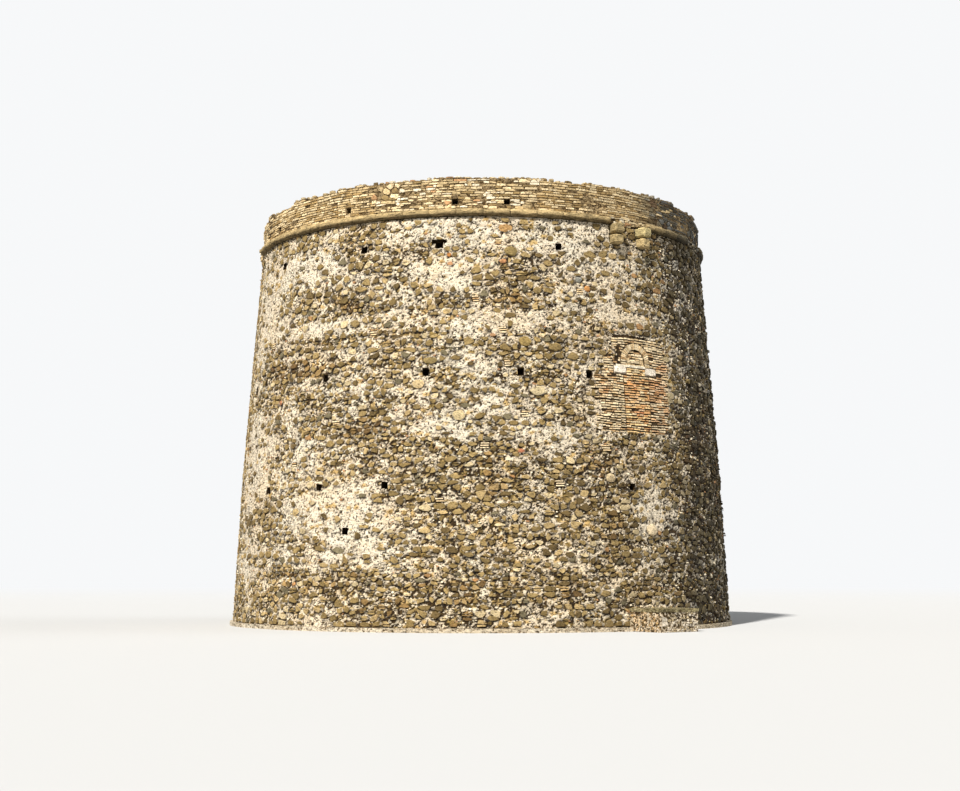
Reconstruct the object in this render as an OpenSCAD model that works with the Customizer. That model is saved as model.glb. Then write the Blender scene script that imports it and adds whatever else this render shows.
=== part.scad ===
// Round coastal watchtower of rubble masonry.
// A tapered drum, solid up to the sill of its upper doorway, carries a domed chamber, a terrace
// with a paved floor, a half-round string course and the worn rest of a parapet.
// The doorway is walled up with brick, and two corbels above it are what is left of its box machicolation.
// Millimetres. The origin is the centre of the base at ground level, and +Z is up.
// An azimuth of 0 faces -Y, and azimuths grow towards +X.

/* [Wall] */
// Radius of the wall at the ground
base_r = 8470; // [8200:10:8700]
// Radius of the wall where its slope changes
knee_r = 8130; // [7900:10:8180]
// Height where the slope of the wall changes
knee_z = 5000; // [3500:50:5600]
// Radius of the wall just under the string course
neck_r = 7449; // [7250:1:7700]
// Height of the underside of the string course
neck_z = 12370; // [11900:10:12800]
// Height of the footing course
footing_h = 130; // [80:10:250]
// How far the footing course stands out from the wall
footing_out = 130; // [60:10:200]
// Height of the top of the band of large foot stones
foot_band_z = 1700; // [1200:50:2600]

/* [Chamber] */
// Radius of the chamber
chamber_r = 4000; // [3500:50:4400]
// Height of the masonry under the chamber's floor
floor_z = 6000; // [5800:20:6300]
// Thickness of the chamber's floor paving
floor_t = 80; // [50:5:120]
// Height where the dome springs
spring_z = 7000; // [6700:50:7300]
// Height up to which the dome is bonded into the wall
haunch_z = 9000; // [8850:50:9300]
// Thickness of the dome
dome_t = 400; // [300:10:600]

/* [Doorway] */
// Azimuth of the doorway
door_phi = 37; // [32:0.5:45]
// Half the angle of the wall bay that holds the doorway
bay_half = 15; // [14.5:0.5:16.5]
// Width of the doorway
door_w = 1050; // [800:10:1300]
// Height of the underside of the impost stones
impost_z = 7800; // [7500:10:7950]
// Height of an impost stone
impost_h = 250; // [150:10:300]
// Length of an impost stone
impost_w = 475; // [350:5:600]
// How far an impost stone stands into the doorway
impost_in = 135; // [80:5:200]
// Height of the straight foot of the arch above the imposts
arch_stilt = 130; // [60:10:160]
// Depth of the arch ring's face
arch_ring = 200; // [120:5:220]
// Width of the brick facing beside the doorway
jamb_w = 780; // [600:10:900]
// Depth of the brick facing at its top
facing_d = 620; // [450:10:800]
// Height of the top of the brick facing over the arch
panel_z = 9000; // [8800:20:9150]
// Depth of the brickwork that closes the doorway, at the foot of the arch
infill_d = 280; // [180:10:400]
// How far the tympanum lies behind the face
tympanum_back = 25; // [0:5:60]
// Width of the crack beside the arch
crack_w = 45; // [20:5:80]
// Depth of the crack at the top of the facing
crack_d = 120; // [40:10:250]

/* [Machicolation] */
// Angle from the doorway's axis to each corbel
corbel_phi = 4.1; // [3.5:0.1:5]
// Width of a corbel
corbel_w = 380; // [300:10:450]
// Height of one corbel stone
corbel_h = 330; // [250:10:350]
// How far the lower corbel stone stands out
corbel_low_out = 300; // [200:10:450]
// How far the upper corbel stone stands out
corbel_top_out = 380; // [200:10:500]
// Height of the top of the upper corbel stones
corbel_top_z = 12420; // [12300:10:12550]

/* [String course] */
// Height of the string course
cordon_h = 250; // [200:10:320]
// How far its round nose stands out from the wall
cordon_out = 196; // [150:1:240]
// Depth of a string-course stone from the wall's face to its tail
cordon_tail = 320; // [250:10:400]
// Width of the joints between its stones
cordon_joint = 14; // [8:1:25]
// Angle taken up by one of its stones
cordon_stone_phi = 6.5; // [5:0.5:9]
// First azimuth of the stretch on the right where its stones are gone
gone_right_a_phi = 62; // [55:1:66]
// Last azimuth of that stretch
gone_right_b_phi = 74; // [68:1:80]
// First azimuth of the stretch on the left where its stones are gone
gone_left_a_phi = -90; // [-96:1:-87]
// Last azimuth of that stretch
gone_left_b_phi = -76; // [-77:1:-68]

/* [Terrace] */
// Thickness of the terrace paving
paving_t = 130; // [80:10:200]
// Thickness of the parapet
parapet_t = 1000; // [700:20:1300]
// How far the parapet's face lies behind the wall's face under the string course
parapet_back = 20; // [0:5:80]
// Height of the tallest part of the parapet above the string course
parapet_h = 970; // [800:10:1200]
// Width of a drain through the parapet
drain_w = 180; // [120:10:240]
// Height of a drain through the parapet
drain_h = 170; // [120:10:240]
// How far the drain spout stands out
spout_out = 170; // [80:10:300]
// How far its tail is built into the parapet
spout_tail = 250; // [150:10:400]
// Azimuth of the drain that keeps its spout
spout_phi = -82; // [-88:2:-74]

/* [Wall holes] */
// Side of a putlog hole
putlog_w = 210; // [120:10:260]
// Depth of a putlog hole
putlog_d = 450; // [200:10:700]
// Height of the top row of putlog holes
putlog_top_z = 11520; // [11000:10:11600]
// Height of the middle row of putlog holes
putlog_mid_z = 7700; // [7400:10:7800]
// Height of the low row of putlog holes
putlog_low_z = 4340; // [4000:10:4500]
// Height of the lowest row of putlog holes
putlog_foot_z = 3000; // [2800:10:3300]
// Azimuth of the hole of the top row whose mouth has broken out
broken_phi = -9.5; // [-12:0.5:-6]
// Width of its broken mouth
broken_w = 430; // [260:10:600]
// Height of its broken mouth
broken_h = 120; // [60:10:200]
// Depth of its broken mouth
broken_d = 180; // [80:10:300]

/* [Foot block] */
// Angle from the doorway's axis to the masonry block at the tower's foot
block_phi = 0; // [-8:0.5:8]
// Width of the block
block_w = 1500; // [1100:10:1900]
// How far the block stands out from the wall at the ground
block_out = 1300; // [900:10:1600]
// Height of the block's rubble
block_h = 600; // [400:10:900]
// Thickness of the block's cap
cap_t = 100; // [60:5:160]
// How far the cap stands out past the block
cap_over = 20; // [0:5:50]

/* [Hidden] */
$fn = 360;
// Angle of each wall sector outside the doorway's bay
sector_count = 6;
bay_a = door_phi - bay_half;
bay_b = door_phi + bay_half;
sector_step = (360 - 2 * bay_half) / sector_count;
// Length of cutting bodies that run past the masonry
past = 400;
// Radii and heights that follow from the driving sizes
vault_r = chamber_r + dome_t;
haunch_r = sqrt(pow(vault_r, 2) - pow(haunch_z - spring_z, 2));
cordon_top = neck_z + cordon_h;
cordon_in = neck_r - cordon_tail;
terrace_z = cordon_top + paving_t;
parapet_r = neck_r - parapet_back;
parapet_in = parapet_r - parapet_t;
full_z = cordon_top + parapet_h;
door_half = door_w / 2;
sill_z = floor_z + floor_t;
arch_z = impost_z + impost_h;
arch_in = door_half - impost_in;
arch_out = arch_in + arch_ring;
facing_half = door_half + jamb_w;
facing_y = wall_r(panel_z) - facing_d;
infill_y = wall_r(arch_z) - infill_d;
// Azimuths of the holes in each row, front ones first, then the unseen side at the same pace
PUTLOGS_TOP = [-28, broken_phi, 18, 66, 96, 126, 152, 186, 222, 248, 280, 304];
PUTLOGS_MID = [-37, -12, 8.5, 24.3, 62, 90, 118, 146, 174, 206, 230, 258, 292];
PUTLOGS_LOW = [-55, -37, -20.5, 34, 70, 106, 142, 178, 214, 250, 278];
PUTLOGS_FOOT = [-29.5];
DRAINS = [spout_phi, -61, -33, -6, 6, 75, 120, 165, 215];
// Half the angle that a corbel takes up at its tail
corbel_half = asin(corbel_w / 2 / cordon_in);
// Azimuths between which string-course stones are left, one row a node
CORDON = [
    ["cordon_front", [[-18, door_phi - corbel_phi - corbel_half]]],
    ["cordon_front_left", [[-64, -18]]],
    ["cordon_left", [[-116, gone_left_a_phi], [gone_left_b_phi, -64]]],
    ["cordon_rear_left", [[-164, -116]]],
    ["cordon_rear", [[150, 196]]],
    ["cordon_rear_right", [[104, 150]]],
    ["cordon_right", [[door_phi + corbel_phi + corbel_half, gone_right_a_phi], [gone_right_b_phi, 104]]],
];
// Azimuths where the string course has broken away and its backing shows
CORDON_GAPS = [
    [door_phi - corbel_phi - corbel_half, door_phi + corbel_phi + corbel_half],
    [gone_right_a_phi, gone_right_b_phi],
    [gone_left_a_phi, gone_left_b_phi],
];
// Parapet pieces: name, first and last azimuth, and the share of the full height that is lost
PARAPET = [
    ["parapet_front", -31, 29, 0.04],
    ["parapet_left", -91, -31, 0.08],
    ["parapet_rear_left", -151, -91, 0.06],
    ["parapet_rear", 149, 209, 0],
    ["parapet_rear_right", 89, 149, 0.05],
    ["parapet_right", 29, 89, 0.06],
];
// Worn stretches of the parapet: azimuth, width as a share of its radius, share of the height lost
WORN = [
    [-19.5, 0.3, 0.09], [2, 0.2, 0.07], [20, 0.18, 0.1],
    [-80, 0.31, 0.22], [-60, 0.24, 0.2], [-42, 0.19, 0.14],
    [-139, 0.22, 0.11], [-112, 0.35, 0.18],
    [158, 0.2, 0.07], [186, 0.38, 0.13],
    [102, 0.32, 0.19], [130, 0.23, 0.09],
    [44, 0.2, 0.09], [62, 0.23, 0.14], [79, 0.26, 0.2],
];
// Line of the crack from its top down: share of the facing's half width across,
// and share of the facing's height over the foot of the arch
CRACK = [[-0.63, 1], [-0.74, 0.86], [-0.61, 0.69], [-0.51, 0.54], [-0.52, 0.36], [-0.5, 0.1]];

// Radius of the wall's outer face at a height
function wall_r(z) =
    z < knee_z
        ? base_r - (base_r - knee_r) * z / knee_z
        : knee_r - (knee_r - neck_r) * (z - knee_z) / (neck_z - knee_z);

// Outer face between two heights as profile points, with the knee where it lies between them
function face_points(z0, z1) = concat(
    [[wall_r(z0), z0]],
    z0 < knee_z && knee_z < z1 ? [[knee_r, knee_z]] : [],
    [[wall_r(z1), z1]]
);

// Angle folded into the turn that starts at a given azimuth
function folded(a, start) = a - 360 * floor((a - start) / 360);

function inside(a, a0, a1) = folded(a, a0) - a0 > 0 && folded(a, a0) < a1;

// Turns children that face -Y to an azimuth
module at_azimuth(a) {
    rotate([0, 0, a]) children();
}

// Revolves a 2D profile between two azimuths
module revolved(a0, a1) {
    rotate([0, 0, a0 - 90]) rotate_extrude(angle = a1 - a0) children();
}

// Solid drum between two heights with the wall's outer face, or lying back behind it
module drum(z0, z1, back = 0) {
    outer = [for (p = face_points(z0, z1)) [p[0] - back, p[1]]];
    rotate_extrude() polygon(concat([[0, z0]], outer, [[0, z1]]));
}

// One row of square sockets in the wall's face between two azimuths
module putlog_row(azimuths, z, a0, a1) {
    for (a = azimuths)
        if (inside(a, a0, a1))
            at_azimuth(a)
                translate([-putlog_w / 2, -wall_r(z) - past, z - putlog_w / 2])
                    cube([putlog_w, past + putlog_d, putlog_w]);
}

// Broken mouth over one hole of the top row
module broken_mouth(a0, a1) {
    z = putlog_top_z + putlog_w / 2;
    if (inside(broken_phi, a0, a1))
        at_azimuth(broken_phi)
            translate([-broken_w / 2, -wall_r(z) - past, z - broken_h / 2])
                cube([broken_w, past + broken_d, broken_h]);
}

// Profile of the wall round the chamber, with the haunch of the dome cut from its inner face
module chamber_wall_profile(z0, z1) {
    difference() {
        polygon(concat(
            [[chamber_r, z0]],
            face_points(z0, z1),
            z1 > haunch_z
                ? [[haunch_r, z1], [haunch_r, haunch_z], [0, haunch_z], [0, spring_z], [chamber_r, spring_z]]
                : [[0, z1], [0, spring_z], [chamber_r, spring_z]]
        ));
        translate([0, spring_z]) circle(r = chamber_r);
    }
}

// Sector of the wall from the chamber's floor to the string course
module wall_sector(a0, a1) {
    difference() {
        revolved(a0, a1) chamber_wall_profile(floor_z, neck_z);
        putlog_row(PUTLOGS_TOP, putlog_top_z, a0, a1);
        putlog_row(PUTLOGS_MID, putlog_mid_z, a0, a1);
        broken_mouth(a0, a1);
    }
}

// One of the equal sectors outside the doorway's bay, counted from the bay towards the front
module numbered_sector(i) {
    wall_sector(bay_a - (i + 1) * sector_step, bay_a - i * sector_step);
}

// Block in the doorway's own axes: x from the axis, y as distance from the tower's centre
module door_box(x0, x1, r0, r1, z0, z1) {
    at_azimuth(door_phi) translate([x0, -r1, z0]) cube([x1 - x0, r1 - r0, z1 - z0]);
}

// Masonry with the wall's outer face inside a block in the doorway's axes
module faced_block(x0, x1, r0, z0, z1) {
    intersection() {
        drum(z0 - past, z1 + past);
        door_box(x0, x1, r0, base_r + past, z0, z1);
    }
}

// Outline of a round arch on straight feet, from its foot upwards
module arch_outline(r, stilt) {
    intersection() {
        union() {
            translate([-r, 0]) square([2 * r, stilt]);
            translate([0, stilt]) circle(r = r);
        }
        translate([-r, 0]) square([2 * r, stilt + r]);
    }
}

// Pushes a 2D outline, with its foot at a height, along the doorway's axis
module door_push(z, r0, r1) {
    at_azimuth(door_phi) translate([0, -r0, z]) rotate([90, 0, 0]) linear_extrude(r1 - r0) children();
}

module footing_course() {
    color("tan") cylinder(r = base_r + footing_out, h = footing_h);
}

module foot_band() {
    color("darkkhaki") drum(footing_h, foot_band_z);
}

module lower_drum() {
    color("tan")
        difference() {
            drum(foot_band_z, floor_z);
            putlog_row(PUTLOGS_LOW, putlog_low_z, 0, 360);
            putlog_row(PUTLOGS_FOOT, putlog_foot_z, 0, 360);
        }
}

module wall_front() {
    color("tan") numbered_sector(0);
}

module wall_left() {
    color("darkkhaki") numbered_sector(1);
}

module wall_rear_left() {
    color("tan") numbered_sector(2);
}

module wall_rear() {
    color("darkkhaki") numbered_sector(3);
}

module wall_rear_right() {
    color("tan") numbered_sector(4);
}

module wall_right() {
    color("darkkhaki") numbered_sector(5);
}

// Space of the brick facing in the wall's outer face
module facing_space() {
    door_box(-facing_half, facing_half, facing_y, base_r + past, floor_z - past, panel_z);
}

// Masonry of the doorway's bay on one side of the passage and beyond it: side is -1 or 1
module bay_side(side, z0, z1) {
    reach = base_r + past;
    door_box(side < 0 ? -reach : door_half, side < 0 ? -door_half : reach, 0, reach, z0, z1);
}

// Pier on one side of the passage, behind and beside the brick facing
module door_pier(side) {
    difference() {
        intersection() {
            revolved(bay_a, bay_b) chamber_wall_profile(floor_z, haunch_z);
            bay_side(side, floor_z - past, haunch_z + past);
        }
        facing_space();
        putlog_row(PUTLOGS_MID, putlog_mid_z, bay_a, bay_b);
    }
}

module wall_left_of_door() {
    color("tan") door_pier(-1);
}

module wall_right_of_door() {
    color("tan") door_pier(1);
}

// Masonry between the piers over the passage, with the passage's barrel vault cut from its underside
module passage_vault() {
    color("burlywood")
        difference() {
            intersection() {
                revolved(bay_a, bay_b) chamber_wall_profile(floor_z, haunch_z);
                door_box(-door_half, door_half, 0, base_r + past, arch_z, haunch_z + past);
            }
            door_push(arch_z - past, 0, base_r) arch_outline(door_half, past);
            facing_space();
        }
}

// Wall of the doorway's bay above the haunch, with the seats of the corbels
module wall_over_door() {
    color("darkkhaki")
        difference() {
            revolved(bay_a, bay_b)
                polygon(concat([[haunch_r, haunch_z]], face_points(haunch_z, neck_z), [[haunch_r, neck_z]]));
            corbel_sockets();
        }
}

module chamber_floor() {
    color("peru") translate([0, 0, floor_z]) cylinder(r = chamber_r, h = floor_t);
}

module passage_floor() {
    color("peru")
        difference() {
            faced_block(-door_half, door_half, 0, floor_z, sill_z);
            translate([0, 0, floor_z - past]) cylinder(r = chamber_r, h = floor_t + 2 * past);
        }
}

// Cap of the dome above its haunch
module dome_vault() {
    color("indianred")
        translate([0, 0, spring_z])
            difference() {
                sphere(r = vault_r);
                sphere(r = chamber_r);
                translate([0, 0, haunch_z - spring_z - vault_r])
                    cube([3 * vault_r, 3 * vault_r, 2 * vault_r], center = true);
            }
}

module vault_fill() {
    color("burlywood")
        difference() {
            translate([0, 0, haunch_z]) cylinder(r = haunch_r, h = neck_z - haunch_z);
            translate([0, 0, spring_z]) sphere(r = vault_r);
        }
}

// Brick facing on one side of the doorway, with the impost's seat cut out: side is -1 or 1
module brick_jamb(side) {
    color("sandybrown")
        difference() {
            faced_block(
                side < 0 ? -facing_half : door_half, side < 0 ? -door_half : facing_half,
                facing_y, floor_z, arch_z
            );
            impost_block(side);
        }
}

// Space of one impost stone
module impost_block(side) {
    inner = side * arch_in;
    outer = side * (arch_in + impost_w);
    faced_block(min(inner, outer), max(inner, outer), facing_y, impost_z, arch_z);
}

module brick_jamb_left() {
    brick_jamb(-1);
}

module brick_jamb_right() {
    brick_jamb(1);
}

module impost_stones() {
    color("whitesmoke") {
        impost_block(-1);
        impost_block(1);
    }
}

module relieving_arch() {
    color("burlywood")
        intersection() {
            drum(arch_z - past, panel_z + past);
            door_push(arch_z, facing_y, base_r + past)
                difference() {
                    arch_outline(arch_out, arch_stilt);
                    translate([0, -past]) arch_outline(arch_in, arch_stilt + past);
                }
        }
}

module arch_tympanum() {
    color("khaki")
        intersection() {
            drum(arch_z - past, panel_z + past, tympanum_back);
            door_push(arch_z, infill_y, base_r + past) arch_outline(arch_in, arch_stilt);
        }
}

// Closing brickwork: full width below the imposts, narrower between them
module doorway_infill() {
    color("coral")
        intersection() {
            drum(sill_z - past, arch_z + past);
            door_push(sill_z, infill_y, base_r + past)
                union() {
                    translate([-door_half, 0]) square([door_w, impost_z - sill_z]);
                    translate([-arch_in, 0]) square([2 * arch_in, arch_z - sill_z]);
                }
        }
}

module brick_over_arch() {
    color("sandybrown")
        difference() {
            faced_block(-facing_half, facing_half, facing_y, arch_z, panel_z);
            door_push(arch_z - past, 0, base_r + past) arch_outline(arch_out, arch_stilt + past);
            crack_groove();
        }
}

// Groove of the crack that runs down beside the arch
module crack_groove() {
    line = [for (p = CRACK) [p[0] * facing_half, p[1] * (panel_z - arch_z)]];
    left = [for (p = line) [p[0] - crack_w / 2, p[1]]];
    right = [for (i = [len(line) - 1:-1:0]) [line[i][0] + crack_w / 2, line[i][1]]];
    door_push(arch_z, wall_r(panel_z) - crack_d, base_r + past) polygon(concat(left, right));
}

module terrace_bed() {
    color("burlywood") translate([0, 0, neck_z]) cylinder(r = cordon_in, h = cordon_h);
}

module terrace_paving() {
    color("peru") translate([0, 0, cordon_top]) cylinder(r = parapet_in, h = paving_t);
}

// Section of the string course: a square bed with a half-round nose
module cordon_profile() {
    nose_r = cordon_h / 2;
    bed = cordon_tail + cordon_out - nose_r;
    translate([cordon_in, neck_z]) square([bed, cordon_h]);
    translate([cordon_in + bed, neck_z + nose_r]) circle(r = nose_r);
}

// Run of the string course as single stones with open joints between them
module cordon_run(a0, a1) {
    stones = max(1, round((a1 - a0) / cordon_stone_phi));
    step = (a1 - a0) / stones;
    joint = cordon_joint / neck_r * 180 / PI;
    color("wheat")
        for (i = [0:stones - 1])
            revolved(a0 + i * step, a0 + (i + 1) * step - joint) cordon_profile();
}

// Rubble behind the string course where its stones have fallen
module cordon_backing() {
    color("tan")
        difference() {
            for (gap = CORDON_GAPS)
                revolved(gap[0], gap[1])
                    translate([cordon_in, neck_z]) square([cordon_tail, cordon_h]);
            corbel_sockets();
        }
}

// Seats of the corbel stones in the wall and in the backing above it
module corbel_sockets() {
    for (side = [-1, 1])
        at_azimuth(door_phi + side * corbel_phi)
            translate([-corbel_w / 2, cordon_tail - neck_r, corbel_top_z - 2 * corbel_h])
                mirror([0, 1, 0]) cube([corbel_w, cordon_tail + past, 2 * corbel_h]);
}

// Side outline of a corbel stone: a tail in the wall and a nose with a quadrant underside
module corbel_outline(out) {
    nose_r = min(out, corbel_h);
    reach = cordon_tail + out;
    square([reach - nose_r, corbel_h]);
    intersection() {
        translate([reach - nose_r, corbel_h]) circle(r = nose_r);
        translate([reach - nose_r, corbel_h - nose_r]) square(nose_r);
    }
}

// Pair of corbel stones in one course, counted down from the top
module corbel_pair(course, out) {
    color("khaki")
        for (side = [-1, 1])
            at_azimuth(door_phi + side * corbel_phi)
                translate([-corbel_w / 2, cordon_tail - neck_r, corbel_top_z - (course + 1) * corbel_h])
                    rotate([90, 0, 90])
                        linear_extrude(corbel_w) mirror([1, 0, 0]) corbel_outline(out);
}

module corbels_lower() {
    corbel_pair(1, corbel_low_out);
}

module corbels_upper() {
    corbel_pair(0, corbel_top_out);
}

// Length of parapet with its worn stretches, its drains at the paving's level and the spout's seat
module parapet_run(a0, a1, lost) {
    color("tan")
        difference() {
            revolved(a0, a1) translate([parapet_in, cordon_top]) square([parapet_t, parapet_h * (1 - lost)]);
            for (worn = WORN)
                if (inside(worn[0], a0, a1))
                    parapet_cut(worn[0], worn[1] * parapet_r, full_z - worn[2] * parapet_h, parapet_h);
            for (a = DRAINS)
                if (inside(a, a0, a1)) parapet_cut(a, drain_w, terrace_z, drain_h);
            if (inside(spout_phi, a0, a1)) spout_block();
        }
}

// Square cut through the parapet at an azimuth
module parapet_cut(a, w, z, h) {
    at_azimuth(a) translate([-w / 2, -parapet_r - past, z]) cube([w, parapet_t + 2 * past, h]);
}

// Space of the spout, from its lip to the end of its tail in the parapet
module spout_block() {
    at_azimuth(spout_phi)
        translate([-drain_w / 2, -neck_r - spout_out, cordon_top])
            cube([drain_w, neck_r + spout_out - parapet_r + spout_tail, paving_t]);
}

// Stone spout that is left under one drain, with its tail built into the parapet
module drain_spout() {
    color("dimgray") spout_block();
}

// Masonry block at the foot, with its back shaped to the wall's face
module block_form(w, out, z0, z1) {
    difference() {
        at_azimuth(door_phi + block_phi)
            translate([-w / 2, -base_r - out, z0]) cube([w, out + past, z1 - z0]);
        drum(0, foot_band_z);
        cylinder(r = base_r + footing_out, h = footing_h);
    }
}

module foot_block() {
    color("tan") block_form(block_w, block_out, 0, block_h);
}

module foot_block_cap() {
    color("olivedrab") block_form(block_w + 2 * cap_over, block_out + cap_over, block_h, block_h + cap_t);
}

footing_course();
foot_band();
lower_drum();
wall_front();
wall_left();
wall_rear_left();
wall_rear();
wall_rear_right();
wall_right();
wall_left_of_door();
wall_right_of_door();
passage_vault();
wall_over_door();
chamber_floor();
passage_floor();
dome_vault();
vault_fill();
brick_jamb_left();
brick_jamb_right();
impost_stones();
relieving_arch();
arch_tympanum();
doorway_infill();
brick_over_arch();
terrace_bed();
terrace_paving();
for (course = CORDON)
    for (run = course[1]) cordon_run(run[0], run[1]);
cordon_backing();
corbels_lower();
corbels_upper();
for (run = PARAPET)
    parapet_run(run[1], run[2], run[3]);
drain_spout();
foot_block();
foot_block_cap();
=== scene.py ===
"""Coastal watchtower: stones, bricks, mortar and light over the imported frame, in metres."""
import math
import random

import bpy
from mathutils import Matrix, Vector, kdtree, noise


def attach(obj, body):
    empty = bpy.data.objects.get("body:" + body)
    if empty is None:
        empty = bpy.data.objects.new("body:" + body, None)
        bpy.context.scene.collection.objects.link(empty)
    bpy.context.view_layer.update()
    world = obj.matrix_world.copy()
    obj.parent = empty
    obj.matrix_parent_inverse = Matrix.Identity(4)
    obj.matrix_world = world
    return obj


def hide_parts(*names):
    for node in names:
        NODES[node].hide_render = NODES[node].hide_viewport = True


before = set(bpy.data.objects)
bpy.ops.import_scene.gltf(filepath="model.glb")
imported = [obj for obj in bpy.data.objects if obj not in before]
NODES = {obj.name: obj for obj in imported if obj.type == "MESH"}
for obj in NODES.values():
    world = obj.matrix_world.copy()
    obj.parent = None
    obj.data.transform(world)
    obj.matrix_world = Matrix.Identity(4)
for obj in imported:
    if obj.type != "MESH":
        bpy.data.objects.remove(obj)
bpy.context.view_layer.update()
draw = random.Random(1704)

# Sizes of the part's source, in metres and degrees
BASE_R = 8.47
KNEE_R = 8.13
KNEE_Z = 5.0
NECK_R = 7.449
NECK_Z = 12.37
FOOTING_H = 0.13
FOOT_BAND_Z = 1.70
CORDON_TOP = 12.62
CORDON_NOSE = 7.645
CORDON_TAIL = 7.129
PARAPET_R = 7.429
PARAPET_IN = 6.429
PARAPET_H = 0.97
PAVING_Z = 12.75
TOP_Z = 13.59
DOOR_PHI = 37.0
DOOR_HALF = 0.525
FACING_Z = (6.0, 9.0)
IMPOST_Z = (7.80, 8.05)
IMPOST_X = (0.39, 0.865)
ARCH_IN = 0.39
ARCH_OUT = 0.59
ARCH_STILT = 0.13
CORBEL_PHIS = (32.9, 41.1)
CORBEL_HALF = 0.19
CORBEL_Z = (11.76, 12.09, 12.42)
CORBEL_REACH = (0.30, 0.38)
SPOUT_PHI = -82
SPOUT_HALF = 0.09
SPOUT_TAIL = 0.248
SPOUT_NOSE = 7.617
BLOCK_PHI = 37.0
BLOCK_HALF = 0.75
BLOCK_FACE = 9.77
BLOCK_H = 0.6
PUTLOG = 0.21
# Rows of putlog holes: height of their middle, azimuths
PUTLOGS = (
    (11.52, (-28, -9.5, 18, 66, 96, 126, 152, 186, 222, 248, 280, 304)),
    (7.70, (-37, -12, 8.5, 24.3, 62, 90, 118, 146, 174, 206, 230, 258, 292)),
    (4.34, (-55, -37, -20.5, 34, 70, 106, 142, 178, 214, 250, 278)),
    (3.00, (-29.5,)),
)
# The hole whose mouth has broken out: azimuth, height of its middle, width, height
BROKEN_MOUTH = (-9.5, 11.625, 0.43, 0.12)
DRAINS = (-82, -61, -33, -6, 6, 75, 120, 165, 215)
DRAIN_HALF = 0.09
DRAIN_Z = (12.75, 12.92)
# Parapet lengths: first azimuth, last azimuth, share of the height lost
PARAPET = (
    (-31, 29, 0.04), (-91, -31, 0.08), (-151, -91, 0.06), (149, 209, 0.0), (89, 149, 0.05), (29, 89, 0.06),
)
# Worn stretches: azimuth, width as a share of the radius, share of the height lost
WORN = (
    (-19.5, 0.3, 0.09), (2, 0.2, 0.07), (20, 0.18, 0.1), (-80, 0.31, 0.22), (-60, 0.24, 0.2),
    (-42, 0.19, 0.14), (-139, 0.22, 0.11), (-112, 0.35, 0.18), (158, 0.2, 0.07), (186, 0.38, 0.13),
    (102, 0.32, 0.19), (130, 0.23, 0.09), (44, 0.2, 0.09), (62, 0.23, 0.14), (79, 0.26, 0.2),
)
# Stretches of each string course node, and stretches where its stones are gone
CORDON = {
    "cordon_front": ((-18, 31.4),), "cordon_front_left": ((-64, -18),),
    "cordon_left": ((-116, -90), (-76, -64)), "cordon_rear_left": ((-164, -116),),
    "cordon_rear": ((150, 196),), "cordon_rear_right": ((104, 150),), "cordon_right": ((42.6, 62), (74, 104)),
}
GONE = ((31.4, 42.6), (62, 74), (-90, -76))

# The wall is unrolled at this radius
REF_R = 8.0
AROUND = 2 * math.pi * REF_R
# Azimuths of the side that faces the camera, which gets the finer skin of mortar
FRONT = (-85, 85)
# Stones on the parapet's faces and on its top stay under these heights
FACE_TOP = TOP_Z - 0.003
COPING_TOP = TOP_Z - 0.002
# Lowest and highest z of the wall's stones, as middles and as cells, and of its mortar
STONES_Z = (FOOTING_H + 0.02, NECK_Z - 0.02)
CELLS_Z = (FOOTING_H + 0.01, NECK_Z - 0.015)
SKIN_Z = (FOOTING_H + 0.005, NECK_Z - 0.005)
# A stone's foot lies this deep in the mortar, and keeps this share of its tone as painted shade
SKIRT = 0.014
FOOT_SHADE = 0.16


def wall_r(z):
    """Radius of the wall face at height z."""
    if z <= KNEE_Z:
        return BASE_R + (KNEE_R - BASE_R) * z / KNEE_Z
    return KNEE_R + (NECK_R - KNEE_R) * (z - KNEE_Z) / (NECK_Z - KNEE_Z)


def polar(phi, r, z):
    """Point at an azimuth in radians, counted from -Y towards +X."""
    return (r * math.sin(phi), -r * math.cos(phi), z)


def wall_point(u, z, h):
    """Point h out of the wall face, u metres round the unrolled wall."""
    return polar(u / REF_R, wall_r(z) + h, z)


def outer_parapet_point(u, z, h):
    return polar(u / REF_R, PARAPET_R + h, min(z, FACE_TOP))


def inner_parapet_point(u, z, h):
    """Point on the parapet's inner face, where u runs the other way round."""
    return polar(-u / REF_R, PARAPET_IN - h, min(z, FACE_TOP))


def around(phi_deg):
    """Unrolled place of an azimuth in degrees."""
    return math.radians(phi_deg) * REF_R


def apart(u, v):
    """Signed distance from v to u round the tower."""
    return (u - v + AROUND / 2) % AROUND - AROUND / 2


def azimuth(u):
    """Azimuth of an unrolled place, from -180 to 180 degrees."""
    return math.degrees(apart(u, 0) / REF_R)


def sector(u, count):
    """Which of several equal stretches of the wall a place belongs to."""
    return int(((u / AROUND) % 1.0) * count) % count


def smooth(t):
    """0 below 0, 1 above 1 and a smooth step between."""
    t = min(1.0, max(0.0, t))
    return t * t * (3 - 2 * t)


def fading(at, start, rise, end, fall):
    """1 inside a stretch, fading in over rise from its start and out over fall to its end."""
    return smooth((at - start) / rise) * smooth((end - at) / fall)


def wave(u, z, per_u, per_z, seed):
    """Noise from -1 to 1 on a flat face."""
    return noise.noise((u * per_u, z * per_z, seed))


def wave_in(x, y, z, level, high):
    """Noise from -1 to 1 in space."""
    return noise.noise((x * level, y * level, z * high))


# Outlines: lists of (u, z) corners
def middle(outline):
    count = len(outline)
    return sum(u for u, _ in outline) / count, sum(z for _, z in outline) / count


def box(u0, u1, z0, z1):
    return [(u0, z0), (u1, z0), (u1, z1), (u0, z1)]


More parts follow.
